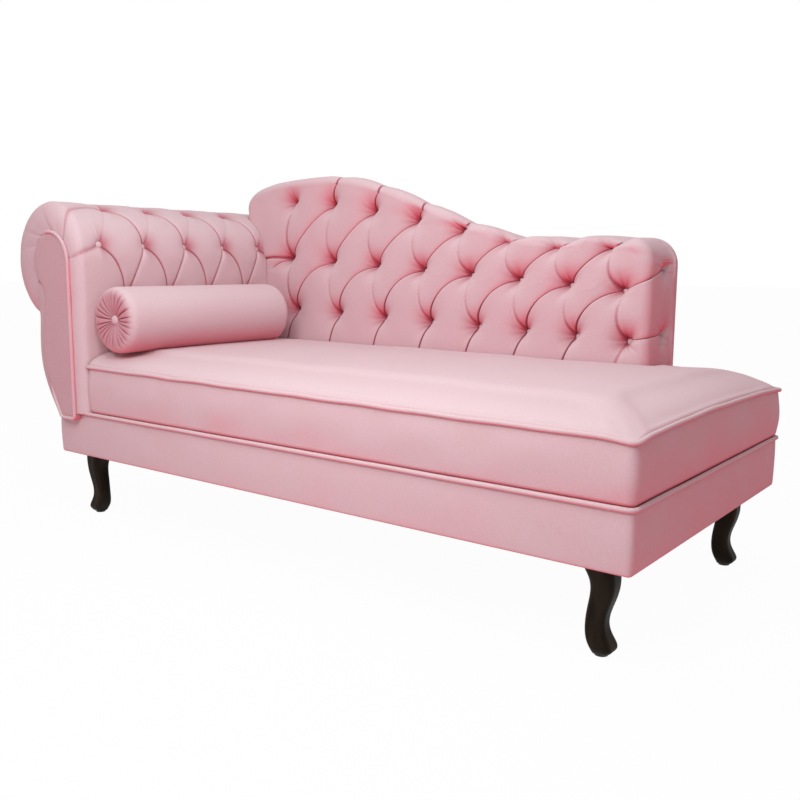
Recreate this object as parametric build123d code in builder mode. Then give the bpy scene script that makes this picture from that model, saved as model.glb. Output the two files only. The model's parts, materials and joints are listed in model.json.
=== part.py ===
"""Recamier: a one-armed chaise longue in tufted velvet, on cabriole legs, with a loose bolster.

Millimetres. +X runs along the length to the open foot end, +Y from front to back, +Z up.
The origin is on the floor, under the middle of the overall box.
"""
import os
from math import acos, cos, pi, sin

from build123d import *

# Base and seat
BASE_LENGTH = 1600.0
BASE_DEPTH = 800.0
LEG_HEIGHT = 168.0  # floor to the underside of the base
BASE_HEIGHT = 111.0
SEAT_HEIGHT = 112.0  # base joint to the seam of the seat's top
SEAT_CROWN = 46.0  # height of the crown above that seam
CROWN_RUN = 110.0  # how far in from an edge the crown levels off
CROWN_STEPS = 6
CROWN_REST = 0.5  # share of a step by which the crown stops short of level

# Fabric, welts and clearances
COVER = 3.0  # fabric with its lining
WELT = 4.0  # how far a welt stands proud
WELT_HEIGHT = 9.0
WELT_ROUND = 0.9  # rounding of a welt as a share of its depth
SOFT_GAP = 0.5  # between padded pieces
BORE_GAP = 0.1  # round bolts, screws and ties

# Base frame
RAIL_THICK = 25.0
SHEET_THICK = 1.0  # dust cover
SHEET_MARGIN = 6.0
WEB_THICK = 2.0
WEB_WIDTH = 60.0
WEB_COUNT = 12
CROSS_RAIL_THICK = 25.0
CROSS_RAIL_HEIGHT = 60.0
CROSS_RAIL_COUNT = 2
BLOCK_SIZE = 66.0
BLOCK_HEIGHT = 45.0
SCREW_RADIUS = 2.5
SCREW_HEAD_RADIUS = 5.0
SCREW_LENGTH = 70.0
SCREW_SPACING = 50.0

# Legs
LEG_TOP = 56.0  # side of the square top
LEG_KNEE = 44.0
LEG_ANKLE = 37.0
LEG_TOE = 44.0
LEG_SOLE = 28.0
LEG_SWING = 11.0  # largest swing of a section from the leg's axis
LEG_FRONT_INSET = 72.0  # axis of a front leg from the base's end
LEG_REAR_INSET = 128.0  # axis of a rear leg from the base's rear
LEG_ROUND = 0.28  # corner radius as a share of the section's side
GLIDE_RADIUS = 12.0
GLIDE_HEIGHT = 4.0
BOLT_RADIUS = 4.0
BOLT_IN_LEG = 35.0
BOLT_PROUD = 3.0  # bolt end above the tee nut
NUT_RADIUS = 10.0
NUT_THICK = 2.0
NUT_BARREL_RADIUS = 5.5
NUT_BARREL = 14.0

# Arm
ROLL_RADIUS = 155.0
ROLL_OUTSET = 20.0  # roll centre, outside the base's left end
ROLL_RISE = 2.0  # roll centre above the scroll's
ROLL_END = 250.0  # where the roll's underside stops, in degrees round from the seat side
ROLL_EDGE = 26.0  # rounding of the roll's front edge
SCROLL_RADIUS = 80.0
SCROLL_INSET = 20.0  # scroll centre, inside the base's left end
SCROLL_HEIGHT = 663.0
SCROLL_END = 216.0  # where the scroll runs into the stem, in degrees round from the seat side
NECK_INSET = -18.0
NECK_SHARE = 0.66  # height of the neck between the belly and the scroll's centre
BELLY_INSET = -36.0
BELLY_HEIGHT = 414.0
FACING_FOOT = 262.0  # lowest point of the facing above the floor
FACING_FOOT_INSET = 36.0
FACING_THICK = 20.0
FACING_WELT = 7.0
ARM_BELLY = 80.0  # how far the outside pad swells past the base's left end
ARM_BELLY_RISE = 16.0  # that swelling, above the facing's belly
ARM_FOOT = 264.0  # lower edge of the outside pad above the floor
ARM_BOARD = 18.0
ARM_RAIL_WIDTH = 50.0
ARM_RAIL_HEIGHT = 36.0
ARM_SLAT_WIDTH = 30.0
ARM_SLAT_THICK = 12.0
ARM_SLAT_COUNT = 3
ARM_SLAT_START = 90.0
ARM_SLAT_STEP = 42.0
ARM_PANEL = 4.0

# Back
BACK_INSET = 45.0  # left end of the back, inside the base's left end
FOOT_LENGTH = 248.0  # open foot end of the seat, right of the back
BACK_DEPTH = 165.0  # rear of the frame to the front of the padding
BACK_CREST = 912.0
BACK_LOW = 728.0
BACK_CORNER = 65.0
BACK_SHOULDER = 62.0  # drop from the crest to the left side
OGEE_START = 330.0  # from the back's left end
OGEE_FLAT = 257.0  # level stretch before the right end
BACK_EDGE = 38.0  # rounding of the padding's front edge
EDGE_STEPS = 4
BACK_WRAP = 30.0  # padding over the frame's edges
FRAME_EARLY = 40.0  # how much earlier than at the front the top edge falls, on the frame
REAR_EARLY = 90.0  # and on the padding's rear edge
BACK_FOAM = 30.0
BACK_BOARD = 15.0
POST_THICK = 45.0
POST_WIDTH = 60.0
POST_COUNT = 3
POST_LAP_SPACING = 50.0

# Tufting
BUTTON_RADIUS = 11.0
BUTTON_HEIGHT = 6.0
TIE_RADIUS = 1.5
TUFT_RADIUS = 40.0
TUFT_DEPTH = 38.0  # on the back
ARM_TUFT_DEPTH = 26.0
PLEAT_WIDTH = 22.0
PLEAT_DEPTH = 13.0
PLEAT_RISE = 30.0  # how far a pleat's cut reaches out of the padding
BACK_COLUMNS = 8
# Rows of back buttons, lowest first: first column from the back's left end, last column from its right
# end, how far the middle columns shift to the right, and the heights of the first and last button
BACK_ROWS = (
    (203.0, 54.0, 42.0, 522.0, 486.0),
    (183.0, 69.0, 33.0, 675.0, 602.0),
    (199.0, 102.0, 19.0, 838.0, 702.0),
)
ROW_FALL_START = 0.5  # share of the level crest after which the top row falls
ROW_FALL_LENGTH = 1.4  # length of that fall as a share of the top edge's
TOP_PLEAT_LEAN = 40.0  # how far a pleat leans to the right on its way to the top edge
ARM_PITCH = 138.0
ARM_FIRST = 56.0  # first button, from the base's front
ARM_ROW_FIRST = -81.0  # first row, along the cover from the height of the roll's centre
ARM_ROW_PITCH = 129.0
ARM_ROWS = 5

# Bolster
BOLSTER_RADIUS = 84.0
BOLSTER_REAR = 64.0  # from its rear end to the back's padding
BOLSTER_FRONT = 12.0  # front end, behind the base's front
BOLSTER_DOME = 16.0
BOLSTER_DIMPLE = 10.0
BOLSTER_DIMPLE_RADIUS = 26.0

# Levels and faces worked out from the sizes above
OVERALL_LENGTH = ROLL_RADIUS + ROLL_OUTSET + BASE_LENGTH + WELT
OVERALL_DEPTH = FACING_THICK + WELT + BASE_DEPTH + WELT
LEFT = -OVERALL_LENGTH / 2 + ROLL_RADIUS + ROLL_OUTSET
RIGHT = LEFT + BASE_LENGTH
FRONT = -OVERALL_DEPTH / 2 + FACING_THICK + WELT
REAR = FRONT + BASE_DEPTH
MID_X = (LEFT + RIGHT) / 2
MID_Y = (FRONT + REAR) / 2
RAIL_BOTTOM = LEG_HEIGHT + SHEET_THICK
DECK = LEG_HEIGHT + BASE_HEIGHT
SEAT_BOTTOM = DECK + WEB_THICK
SEAM = DECK + SEAT_HEIGHT
RAIL_HEIGHT = DECK - RAIL_BOTTOM
RAIL_LENGTH = BASE_LENGTH - 2 * COVER
END_RAIL_LENGTH = BASE_DEPTH - 2 * COVER - 2 * RAIL_THICK
FRAME_REAR = REAR - COVER
PAD_FRONT = FRAME_REAR - BACK_DEPTH
BACK_LEFT = LEFT + BACK_INSET
BACK_RIGHT = RIGHT - FOOT_LENGTH
BACK_LENGTH = BACK_RIGHT - BACK_LEFT
OGEE_LENGTH = BACK_LENGTH - OGEE_START - OGEE_FLAT
ROLL_X = LEFT - ROLL_OUTSET
ROLL_HEIGHT = SCROLL_HEIGHT + ROLL_RISE
ROLL_END_TURN = ROLL_END * pi / 180
ARM_INSIDE = ROLL_X + ROLL_RADIUS
SCROLL_X = LEFT + SCROLL_INSET
SCROLL_END_TURN = SCROLL_END * pi / 180
FRAME_INSIDE = SCROLL_X + SCROLL_RADIUS
ARM_FRONT = FRONT + COVER
SEAT_LEFT = ARM_INSIDE + SOFT_GAP
NOTCH_X = BACK_RIGHT + SOFT_GAP
NOTCH_Y = PAD_FRONT - SOFT_GAP
LEG_INSET = COVER + RAIL_THICK + BLOCK_SIZE / 2
LEGS = {
    "front_left_leg": (LEFT + LEG_FRONT_INSET, FRONT + LEG_INSET, -1),
    "front_right_leg": (RIGHT - LEG_FRONT_INSET, FRONT + LEG_INSET, 1),
    "rear_left_leg": (LEFT + LEG_INSET, REAR - LEG_REAR_INSET, -1),
    "rear_right_leg": (RIGHT - LEG_INSET, REAR - LEG_REAR_INSET, 1),
}
LEG_POINTS = [(x, y) for x, y, _ in LEGS.values()]
FROM_BELOW = (Align.CENTER, Align.CENTER, Align.MIN)
FROM_CORNER = (Align.MIN, Align.MIN, Align.MIN)


def elevation(y):
    """Plane that looks along +Y: its x is the part's X and its y is the part's Z."""
    return Plane(origin=(0, y, 0), x_dir=(1, 0, 0), z_dir=(0, -1, 0))


def write(piece, name):
    piece.part.label = name
    export_step(piece.part, f"parts/{name}.step")


def smooth_step(value):
    share = min(max(value, 0.0), 1.0)
    return share * share * (3 - 2 * share)


os.makedirs("parts", exist_ok=True)

# Base frame
SCREW_HEIGHTS = [
    RAIL_BOTTOM + RAIL_HEIGHT / 2 - SCREW_SPACING / 2,
    RAIL_BOTTOM + RAIL_HEIGHT / 2 + SCREW_SPACING / 2,
]
END_RAIL_X = [LEFT + COVER + RAIL_THICK / 2, RIGHT - COVER - RAIL_THICK / 2]
RAIL_FACES = {"front_rail": FRONT + COVER, "rear_rail": REAR - COVER}


def screw_planes(rail_face):
    """Planes at the screw heads on one long rail's outer face, facing out of the base."""
    outward = (0, -1, 0) if rail_face < MID_Y else (0, 1, 0)
    return [
        Plane(origin=(x, rail_face, z), x_dir=(1, 0, 0), z_dir=outward)
        for x in END_RAIL_X
        for z in SCREW_HEIGHTS
    ]


# The first post stands clear of the corner block, the last one inside the padding's right end
POST_FIRST = LEFT + COVER + RAIL_THICK + BLOCK_SIZE + POST_WIDTH / 2 + SOFT_GAP
POST_STEP = (BACK_RIGHT - BACK_WRAP - POST_WIDTH / 2 - POST_FIRST) / (POST_COUNT - 1)
POST_X = [POST_FIRST + i * POST_STEP for i in range(POST_COUNT)]
LAP_MIDDLE = RAIL_BOTTOM + RAIL_HEIGHT / 2
LAP_BOLTS = [
    (x, z)
    for x in POST_X
    for z in (LAP_MIDDLE - POST_LAP_SPACING / 2, LAP_MIDDLE + POST_LAP_SPACING / 2)
]

for rail_name, face in RAIL_FACES.items():
    rail_middle = face + RAIL_THICK / 2 if face < MID_Y else face - RAIL_THICK / 2
    with BuildPart() as long_rail:
        with Locations((MID_X, rail_middle, RAIL_BOTTOM)):
            Box(RAIL_LENGTH, RAIL_THICK, RAIL_HEIGHT, align=FROM_BELOW)
        with Locations(*screw_planes(face)):
            CounterSinkHole(SCREW_RADIUS + BORE_GAP, SCREW_HEAD_RADIUS + BORE_GAP, RAIL_THICK)
        if rail_name == "rear_rail":
            with BuildSketch(elevation(face)):
                with Locations(*LAP_BOLTS):
                    Circle(BOLT_RADIUS + BORE_GAP)
            extrude(amount=RAIL_THICK, mode=Mode.SUBTRACT)
    write(long_rail, rail_name)

for rail_name, x in zip(("left_rail", "right_rail"), END_RAIL_X):
    with BuildPart() as end_rail:
        with Locations((x, MID_Y, RAIL_BOTTOM)):
            Box(RAIL_THICK, END_RAIL_LENGTH, RAIL_HEIGHT, align=FROM_BELOW)
        for face in RAIL_FACES.values():
            inward = 1 if face < MID_Y else -1
            with BuildSketch(elevation(face)):
                with Locations(*[(x, z) for z in SCREW_HEIGHTS]):
                    Circle(SCREW_RADIUS + BORE_GAP)
            extrude(amount=-inward * SCREW_LENGTH, mode=Mode.SUBTRACT)
    write(end_rail, rail_name)

with BuildPart() as frame_screws:
    for face in RAIL_FACES.values():
        for head in screw_planes(face):
            with Locations(head):
                Cylinder(SCREW_RADIUS, SCREW_LENGTH, align=(Align.CENTER, Align.CENTER, Align.MAX))
                Cone(
                    SCREW_RADIUS,
                    SCREW_HEAD_RADIUS,
                    SCREW_HEAD_RADIUS - SCREW_RADIUS,
                    align=(Align.CENTER, Align.CENTER, Align.MAX),
                )
write(frame_screws, "frame_screws")

CROSS_RAIL_STEP = RAIL_LENGTH / (CROSS_RAIL_COUNT + 1)
for number in range(1, CROSS_RAIL_COUNT + 1):
    with BuildPart() as cross_rail:
        with Locations((LEFT + COVER + number * CROSS_RAIL_STEP, MID_Y, RAIL_BOTTOM)):
            Box(CROSS_RAIL_THICK, END_RAIL_LENGTH, CROSS_RAIL_HEIGHT, align=FROM_BELOW)
    write(cross_rail, f"cross_rail_{number}")

BLOCK_TOP = RAIL_BOTTOM + BLOCK_HEIGHT
with BuildPart() as corner_blocks:
    with Locations(*[(x, y, RAIL_BOTTOM) for x, y in LEG_POINTS]):
        Box(BLOCK_SIZE, BLOCK_SIZE, BLOCK_HEIGHT, align=FROM_BELOW)
    with Locations(*[(x, y, BLOCK_TOP) for x, y in LEG_POINTS]):
        Hole(NUT_BARREL_RADIUS + BORE_GAP, BLOCK_HEIGHT)
write(corner_blocks, "corner_blocks")

with BuildPart() as dust_cover:
    with Locations((MID_X, MID_Y, LEG_HEIGHT)):
        Box(
            RAIL_LENGTH - 2 * SHEET_MARGIN,
            BASE_DEPTH - 2 * COVER - 2 * SHEET_MARGIN,
            SHEET_THICK,
            align=FROM_BELOW,
        )
    with Locations(*[(x, y, RAIL_BOTTOM) for x, y in LEG_POINTS]):
        Hole(BOLT_RADIUS + BORE_GAP, SHEET_THICK)
write(dust_cover, "dust_cover")

# The straps cross from the front rail to the rear rail, between the arm and the right rail
WEB_FIRST = ARM_INSIDE + WEB_WIDTH / 2
WEB_STEP = (RIGHT - COVER - RAIL_THICK - WEB_WIDTH / 2 - WEB_FIRST) / (WEB_COUNT - 1)
WEB_LENGTH = BASE_DEPTH - 2 * COVER - RAIL_THICK
with BuildPart() as seat_webbing:
    with Locations(*[(WEB_FIRST + i * WEB_STEP, MID_Y, DECK) for i in range(WEB_COUNT)]):
        Box(WEB_WIDTH, WEB_LENGTH, WEB_THICK, align=FROM_BELOW)
    with Locations(*[(x, FRAME_REAR, DECK) for x in POST_X]):
        Box(
            POST_WIDTH + 2 * SOFT_GAP,
            2 * (POST_THICK + SOFT_GAP),
            2 * WEB_THICK,
            mode=Mode.SUBTRACT,
        )
write(seat_webbing, "seat_webbing")

# Legs, with the bolts, tee nuts and glides that go with them
# Each section: share of the leg's height, share of its swing, side of the square
LEG_SECTIONS = [
    (1.0, -0.60, LEG_TOP),
    (0.86, -0.05, (LEG_TOP + LEG_KNEE) / 2),
    (0.72, 0.25, LEG_KNEE),
    (0.58, -0.10, (LEG_KNEE + LEG_ANKLE) / 2),
    (0.44, -0.65, LEG_ANKLE),
    (0.28, -0.85, LEG_ANKLE),
    (0.11, 0.0, LEG_TOE),
    (0.0, 0.0, LEG_SOLE),
]
LEG_WOOD = LEG_HEIGHT - GLIDE_HEIGHT

for leg_name, (x, y, side) in LEGS.items():
    with BuildPart() as leg:
        for share, swing, size in LEG_SECTIONS:
            with BuildSketch(Plane.XY.offset(GLIDE_HEIGHT + share * LEG_WOOD)):
                with Locations((x + side * swing * LEG_SWING, y)):
                    RectangleRounded(size, size, LEG_ROUND * size)
        loft()
        with Locations((x, y, LEG_HEIGHT)):
            Hole(BOLT_RADIUS + BORE_GAP, BOLT_IN_LEG)
    write(leg, leg_name)

with BuildPart() as leg_glides:
    with Locations(*[(x, y, 0) for x, y in LEG_POINTS]):
        Cylinder(GLIDE_RADIUS, GLIDE_HEIGHT, align=FROM_BELOW)
write(leg_glides, "leg_glides")

NUT_TOP = BLOCK_TOP + NUT_THICK
with BuildPart() as leg_bolts:
    with Locations(*[(x, y, LEG_HEIGHT - BOLT_IN_LEG) for x, y in LEG_POINTS]):
        Cylinder(BOLT_RADIUS, NUT_TOP + BOLT_PROUD - LEG_HEIGHT + BOLT_IN_LEG, align=FROM_BELOW)
write(leg_bolts, "leg_bolts")

with BuildPart() as tee_nuts:
    with Locations(*[(x, y, BLOCK_TOP) for x, y in LEG_POINTS]):
        Cylinder(NUT_RADIUS, NUT_THICK, align=FROM_BELOW)
        Cylinder(NUT_BARREL_RADIUS, NUT_BARREL, align=(Align.CENTER, Align.CENTER, Align.MAX))
    with Locations(*[(x, y, NUT_TOP) for x, y in LEG_POINTS]):
        Hole(BOLT_RADIUS + BORE_GAP, NUT_THICK + NUT_BARREL)
write(tee_nuts, "tee_nuts")

# Fabric of the base, in four panels
BASE_PANELS = {
    "base_cover_front": (LEFT, FRONT, BASE_LENGTH, COVER),
    "base_cover_rear": (LEFT, REAR - COVER, BASE_LENGTH, COVER),
    "base_cover_left": (LEFT, FRONT + COVER, COVER, BASE_DEPTH - 2 * COVER),
    "base_cover_right": (RIGHT - COVER, FRONT + COVER, COVER, BASE_DEPTH - 2 * COVER),
}
for panel_name, (x, y, length, depth) in BASE_PANELS.items():
    with BuildPart() as panel:
        with Locations((x, y, LEG_HEIGHT)):
            Box(length, depth, BASE_HEIGHT, align=FROM_CORNER)
    write(panel, panel_name)


# Seat: an angled plan that leaves room for the back at the rear left
def seat_plan(inset):
    """Corners of the seat's plan, drawn in by inset all round."""
    left, right, front, rear = SEAT_LEFT + inset, RIGHT - inset, FRONT + inset, REAR - inset
    notch_x, notch_y = NOTCH_X + inset, NOTCH_Y - inset
    return [
        (left, front),
        (right, front),
        (right, rear),
        (notch_x, rear),
        (notch_x, notch_y),
        (left, notch_y),
    ]


with BuildPart() as seat_foam:
    with BuildSketch(Plane.XY.offset(SEAT_BOTTOM)):
        with BuildLine():
            Polyline(*seat_plan(COVER), close=True)
        make_face()
    extrude(amount=SEAM - SEAT_BOTTOM)
write(seat_foam, "seat_foam")

with BuildPart() as seat_boxing:
    with BuildSketch(Plane.XY.offset(SEAT_BOTTOM)):
        with BuildLine():
            Polyline(*seat_plan(0), close=True)
        make_face()
        with BuildLine():
            Polyline(*seat_plan(COVER), close=True)
        make_face(mode=Mode.SUBTRACT)
    extrude(amount=SEAM - SEAT_BOTTOM)
write(seat_boxing, "seat_boxing")

# The crown rises from the front, right and rear edges and runs on under the arm
with BuildPart() as seat_top:
    for step in range(CROWN_STEPS + 1):
        turn = pi / 2 * step / (CROWN_STEPS + CROWN_REST)
        inset = CROWN_RUN * (1 - cos(turn))
        with BuildSketch(Plane.XY.offset(SEAM + SEAT_CROWN * sin(turn))):
            with Locations((LEFT, FRONT + inset)):
                Rectangle(
                    BASE_LENGTH - inset,
                    BASE_DEPTH - 2 * inset,
                    align=(Align.MIN, Align.MIN),
                )
    loft(ruled=True)
    with BuildSketch(Plane.XY.offset(SEAM)):
        with BuildLine():
            Polyline(*seat_plan(0), close=True)
        make_face()
    extrude(amount=SEAT_CROWN, mode=Mode.INTERSECT)
write(seat_top, "seat_top")
CROWN_TOP = SEAM + SEAT_CROWN * sin(pi / 2 * CROWN_STEPS / (CROWN_STEPS + CROWN_REST))

# The welts stand on the faces of the base and the seat, from the arm round to the rear
WELTS = {
    "seat_welt_lower": (DECK, FRAME_INSIDE + FACING_WELT, FRAME_INSIDE + FACING_WELT),
    "seat_welt_upper": (SEAM, SEAT_LEFT, NOTCH_X),
}
for welt_name, (level, front_start, rear_start) in WELTS.items():
    with BuildPart() as welt:
        with Locations((front_start, FRONT - WELT, level - WELT_HEIGHT / 2)):
            Box(RIGHT + WELT - front_start, BASE_DEPTH + 2 * WELT, WELT_HEIGHT, align=FROM_CORNER)
        outer_edges = welt.edges().group_by(Axis.Z)[0] + welt.edges().group_by(Axis.Z)[-1]
        right_edges = outer_edges.filter_by(Axis.Y).sort_by(Axis.X)[-2:]
        fillet(outer_edges.filter_by(Axis.X) + right_edges, WELT * WELT_ROUND)
        with Locations((front_start, FRONT, level - WELT_HEIGHT)):
            Box(RIGHT - front_start, BASE_DEPTH, 2 * WELT_HEIGHT, align=FROM_CORNER, mode=Mode.SUBTRACT)
        with Locations((rear_start, REAR, level)):
            Box(
                2 * BASE_LENGTH,
                4 * WELT,
                2 * WELT_HEIGHT,
                align=(Align.MAX, Align.CENTER, Align.CENTER),
                mode=Mode.SUBTRACT,
            )
    write(welt, welt_name)


# Arm
def arm_outline(margin):
    """Facing and arm boards: a scroll on a waisted stem, drawn in by margin."""
    radius = SCROLL_RADIUS - margin
    left_end = (
        SCROLL_X + radius * cos(SCROLL_END_TURN),
        SCROLL_HEIGHT + radius * sin(SCROLL_END_TURN),
    )
    right = SCROLL_X + radius
    foot = FACING_FOOT + margin
    scroll = CenterArc((SCROLL_X, SCROLL_HEIGHT), radius, 0, SCROLL_END)
    stem = Spline(
        left_end,
        (LEFT + NECK_INSET + margin, BELLY_HEIGHT + NECK_SHARE * (SCROLL_HEIGHT - BELLY_HEIGHT)),
        (LEFT + BELLY_INSET + margin, BELLY_HEIGHT),
        (LEFT + FACING_FOOT_INSET + margin, foot),
    )
    sole = Line(stem @ 1, (right, foot))
    side = Line(sole @ 1, scroll @ 0)
    return scroll, stem, sole, side


with BuildPart() as arm_facing:
    with BuildSketch(elevation(FRONT)):
        with BuildLine():
            arm_outline(FACING_WELT)
        make_face()
    extrude(amount=FACING_THICK)
write(arm_facing, "arm_facing")

with BuildPart() as arm_facing_welt:
    with BuildSketch(elevation(FRONT)):
        with BuildLine():
            arm_outline(0)
        make_face()
        with BuildLine():
            arm_outline(FACING_WELT)
        make_face(mode=Mode.SUBTRACT)
    extrude(amount=FACING_THICK + WELT)
write(arm_facing_welt, "arm_facing_welt")

ARM_BOARDS = {"arm_front_board": ARM_FRONT, "arm_rear_board": FRAME_REAR - ARM_BOARD}
for board_name, face in ARM_BOARDS.items():
    limit = FRAME_INSIDE if face < MID_Y else BACK_LEFT - SOFT_GAP
    with BuildPart() as arm_board:
        with BuildSketch(elevation(face)):
            with BuildLine():
                arm_outline(0)
            make_face()
            with Locations((limit, DECK)):
                Rectangle(2 * BASE_LENGTH, BACK_CREST, align=(Align.MAX, Align.MIN), mode=Mode.INTERSECT)
        extrude(amount=-ARM_BOARD)
    write(arm_board, board_name)

ARM_SPAN = (ARM_FRONT + ARM_BOARD, FRAME_REAR - ARM_BOARD)
ARM_SPAN_LENGTH = ARM_SPAN[1] - ARM_SPAN[0]
RAIL_RIGHT = BACK_LEFT - SOFT_GAP
with BuildPart() as arm_top_rail:
    with Locations((RAIL_RIGHT, ARM_SPAN[0], SCROLL_HEIGHT - ARM_RAIL_HEIGHT / 2)):
        Box(
            ARM_RAIL_WIDTH,
            ARM_SPAN_LENGTH,
            ARM_RAIL_HEIGHT,
            align=(Align.MAX, Align.MIN, Align.MIN),
        )
write(arm_top_rail, "arm_top_rail")

with BuildPart() as arm_foot_rail:
    with Locations((LEFT + COVER, ARM_SPAN[0], DECK)):
        Box(RAIL_THICK, ARM_SPAN_LENGTH, ARM_RAIL_HEIGHT, align=FROM_CORNER)
write(arm_foot_rail, "arm_foot_rail")

SLAT_RADIUS = SCROLL_RADIUS - ARM_SLAT_THICK
with BuildPart() as arm_slats:
    with BuildSketch(elevation(ARM_SPAN[0])):
        with Locations((SCROLL_X, SCROLL_HEIGHT)):
            with PolarLocations(
                SLAT_RADIUS,
                ARM_SLAT_COUNT,
                ARM_SLAT_START,
                ARM_SLAT_STEP * (ARM_SLAT_COUNT - 1),
                endpoint=True,
            ):
                Rectangle(ARM_SLAT_THICK, ARM_SLAT_WIDTH)
    extrude(amount=-ARM_SPAN_LENGTH)
write(arm_slats, "arm_slats")

with BuildPart() as arm_inner_panel:
    with Locations((FRAME_INSIDE - ARM_PANEL, ARM_SPAN[0], DECK)):
        Box(ARM_PANEL, NOTCH_Y - ARM_SPAN[0], SCROLL_HEIGHT - DECK, align=FROM_CORNER)
write(arm_inner_panel, "arm_inner_panel")


def arm_surface(run):
    """Point and outward direction on the arm's cover, run millimetres up and round from its middle."""
    if run < 0:
        return Vector(ARM_INSIDE, 0, ROLL_HEIGHT + run), Vector(1, 0, 0)
    turn = run / ROLL_RADIUS
    outward = Vector(cos(turn), 0, sin(turn))
    return Vector(ROLL_X, 0, ROLL_HEIGHT) + outward * ROLL_RADIUS, outward


def pleat(start, end, outward):
    """Cutter for one pleat: a wedge whose edge lies PLEAT_DEPTH below the line from start to end."""
    along = end - start
    half_top = PLEAT_WIDTH / 2 * (PLEAT_DEPTH + PLEAT_RISE) / PLEAT_DEPTH
    with BuildPart() as cutter:
        with BuildSketch(Plane(origin=start, x_dir=outward.cross(along), z_dir=along)):
            with BuildLine():
                Polyline((0, -PLEAT_DEPTH), (half_top, PLEAT_RISE), (-half_top, PLEAT_RISE), close=True)
            make_face()
        extrude(amount=along.length)
    return cutter.part


def tuft(point, outward, depth):
    """Cutter for one tuft: a cone that narrows to a flat seat for its button."""
    rise = (TUFT_RADIUS - BUTTON_RADIUS) * PLEAT_RISE / depth
    with BuildPart() as cutter:
        with Locations(Plane(origin=point - outward * depth, z_dir=outward)):
            Cone(BUTTON_RADIUS + BORE_GAP, TUFT_RADIUS + rise, depth + PLEAT_RISE, align=FROM_BELOW)
    return cutter.part


def tuft_floor(point, outward, depth):
    """Plane on the floor of a tuft, where its button sits."""
    return Plane(origin=point - outward * depth, z_dir=outward)


# Rows of arm buttons: every second row is set off by half a pitch
arm_rows = []
for row in range(ARM_ROWS):
    place, outward = arm_surface(ARM_ROW_FIRST + row * ARM_ROW_PITCH)
    row_end = PAD_FRONT if place.X > BACK_LEFT - TUFT_RADIUS else FRAME_REAR
    y = FRONT + ARM_FIRST + (ARM_PITCH / 2 if row % 2 == 0 else 0)
    row_points = []
    while y < row_end - BUTTON_RADIUS:
        row_points.append(Vector(place.X, y, place.Z))
        y += ARM_PITCH
    arm_rows.append((row_points, outward))

# Each pleat bends once, half way between its two rows, and the pleats of one set never meet
arm_tufts = []
arm_pleats = []
for row, (row_points, outward) in enumerate(arm_rows):
    arm_tufts += [tuft(point, outward, ARM_TUFT_DEPTH) for point in row_points]
    if row + 1 == ARM_ROWS:
        break
    middle, middle_outward = arm_surface(ARM_ROW_FIRST + (row + 0.5) * ARM_ROW_PITCH)
    upper_points, upper_outward = arm_rows[row + 1]
    for lean in (-1, 1):
        first_half, second_half = [], []
        for lower in row_points:
            for upper in upper_points:
                if abs(upper.Y - lower.Y - lean * ARM_PITCH / 2) > ARM_PITCH / 4:
                    continue
                half_way = Vector(middle.X, (lower.Y + upper.Y) / 2, middle.Z)
                first_half.append(pleat(lower, half_way, (outward + middle_outward).normalized()))
                second_half.append(pleat(half_way, upper, (upper_outward + middle_outward).normalized()))
        arm_pleats += [first_half, second_half]

ROLL_LIP = (ROLL_X + ROLL_RADIUS * cos(ROLL_END_TURN), ROLL_HEIGHT + ROLL_RADIUS * sin(ROLL_END_TURN))
SCROLL_LIP = (
    SCROLL_X + SCROLL_RADIUS * cos(SCROLL_END_TURN),
    SCROLL_HEIGHT + SCROLL_RADIUS * sin(SCROLL_END_TURN),
)
with BuildPart() as arm_pad:
    with BuildSketch(elevation(ARM_FRONT)):
        with BuildLine():
            outer = CenterArc((ROLL_X, ROLL_HEIGHT), ROLL_RADIUS, 0, ROLL_END)
            inner = CenterArc((SCROLL_X, SCROLL_HEIGHT), SCROLL_RADIUS, 0, SCROLL_END)
            Line(outer @ 1, inner @ 1)
            Line(inner @ 0, (FRAME_INSIDE, SEAT_BOTTOM))
            Line((FRAME_INSIDE, SEAT_BOTTOM), (ARM_INSIDE, SEAT_BOTTOM))
            Line((ARM_INSIDE, SEAT_BOTTOM), outer @ 0)
        make_face()
    extrude(amount=-(FRAME_REAR - ARM_FRONT))
    front_edges = arm_pad.faces().sort_by(Axis.Y)[0].edges()
    fillet(front_edges.filter_by(GeomType.CIRCLE).sort_by(SortBy.RADIUS)[-1], ROLL_EDGE)
    with Locations((BACK_LEFT - SOFT_GAP, NOTCH_Y, 0)):
        Box(BASE_LENGTH, BASE_DEPTH, 2 * BACK_CREST, align=FROM_CORNER, mode=Mode.SUBTRACT)
    for cuts in [arm_tufts] + arm_pleats:
        add(cuts, mode=Mode.SUBTRACT)
write(arm_pad, "arm_pad")

with BuildPart() as arm_buttons:
    for row_points, outward in arm_rows:
        with Locations(*[tuft_floor(point, outward, ARM_TUFT_DEPTH) for point in row_points]):
            Cone(BUTTON_RADIUS, BUTTON_RADIUS / 2, BUTTON_HEIGHT, align=FROM_BELOW)
write(arm_buttons, "arm_buttons")

with BuildPart() as arm_outside_pad:
    with BuildSketch(elevation(ARM_FRONT)):
        with BuildLine():
            swell = ThreePointArc(
                ROLL_LIP,
                (LEFT - ARM_BELLY, BELLY_HEIGHT + ARM_BELLY_RISE),
                (LEFT - SOFT_GAP, ARM_FOOT),
            )
            heel = Line(swell @ 1, (LEFT - SOFT_GAP, SCROLL_LIP[1]))
            top = Line(heel @ 1, SCROLL_LIP)
            Line(top @ 1, ROLL_LIP)
        make_face()
        with BuildLine():
            arm_outline(-SOFT_GAP)
        make_face(mode=Mode.SUBTRACT)
    extrude(amount=-(FRAME_REAR - ARM_FRONT))
write(arm_outside_pad, "arm_outside_pad")


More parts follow.
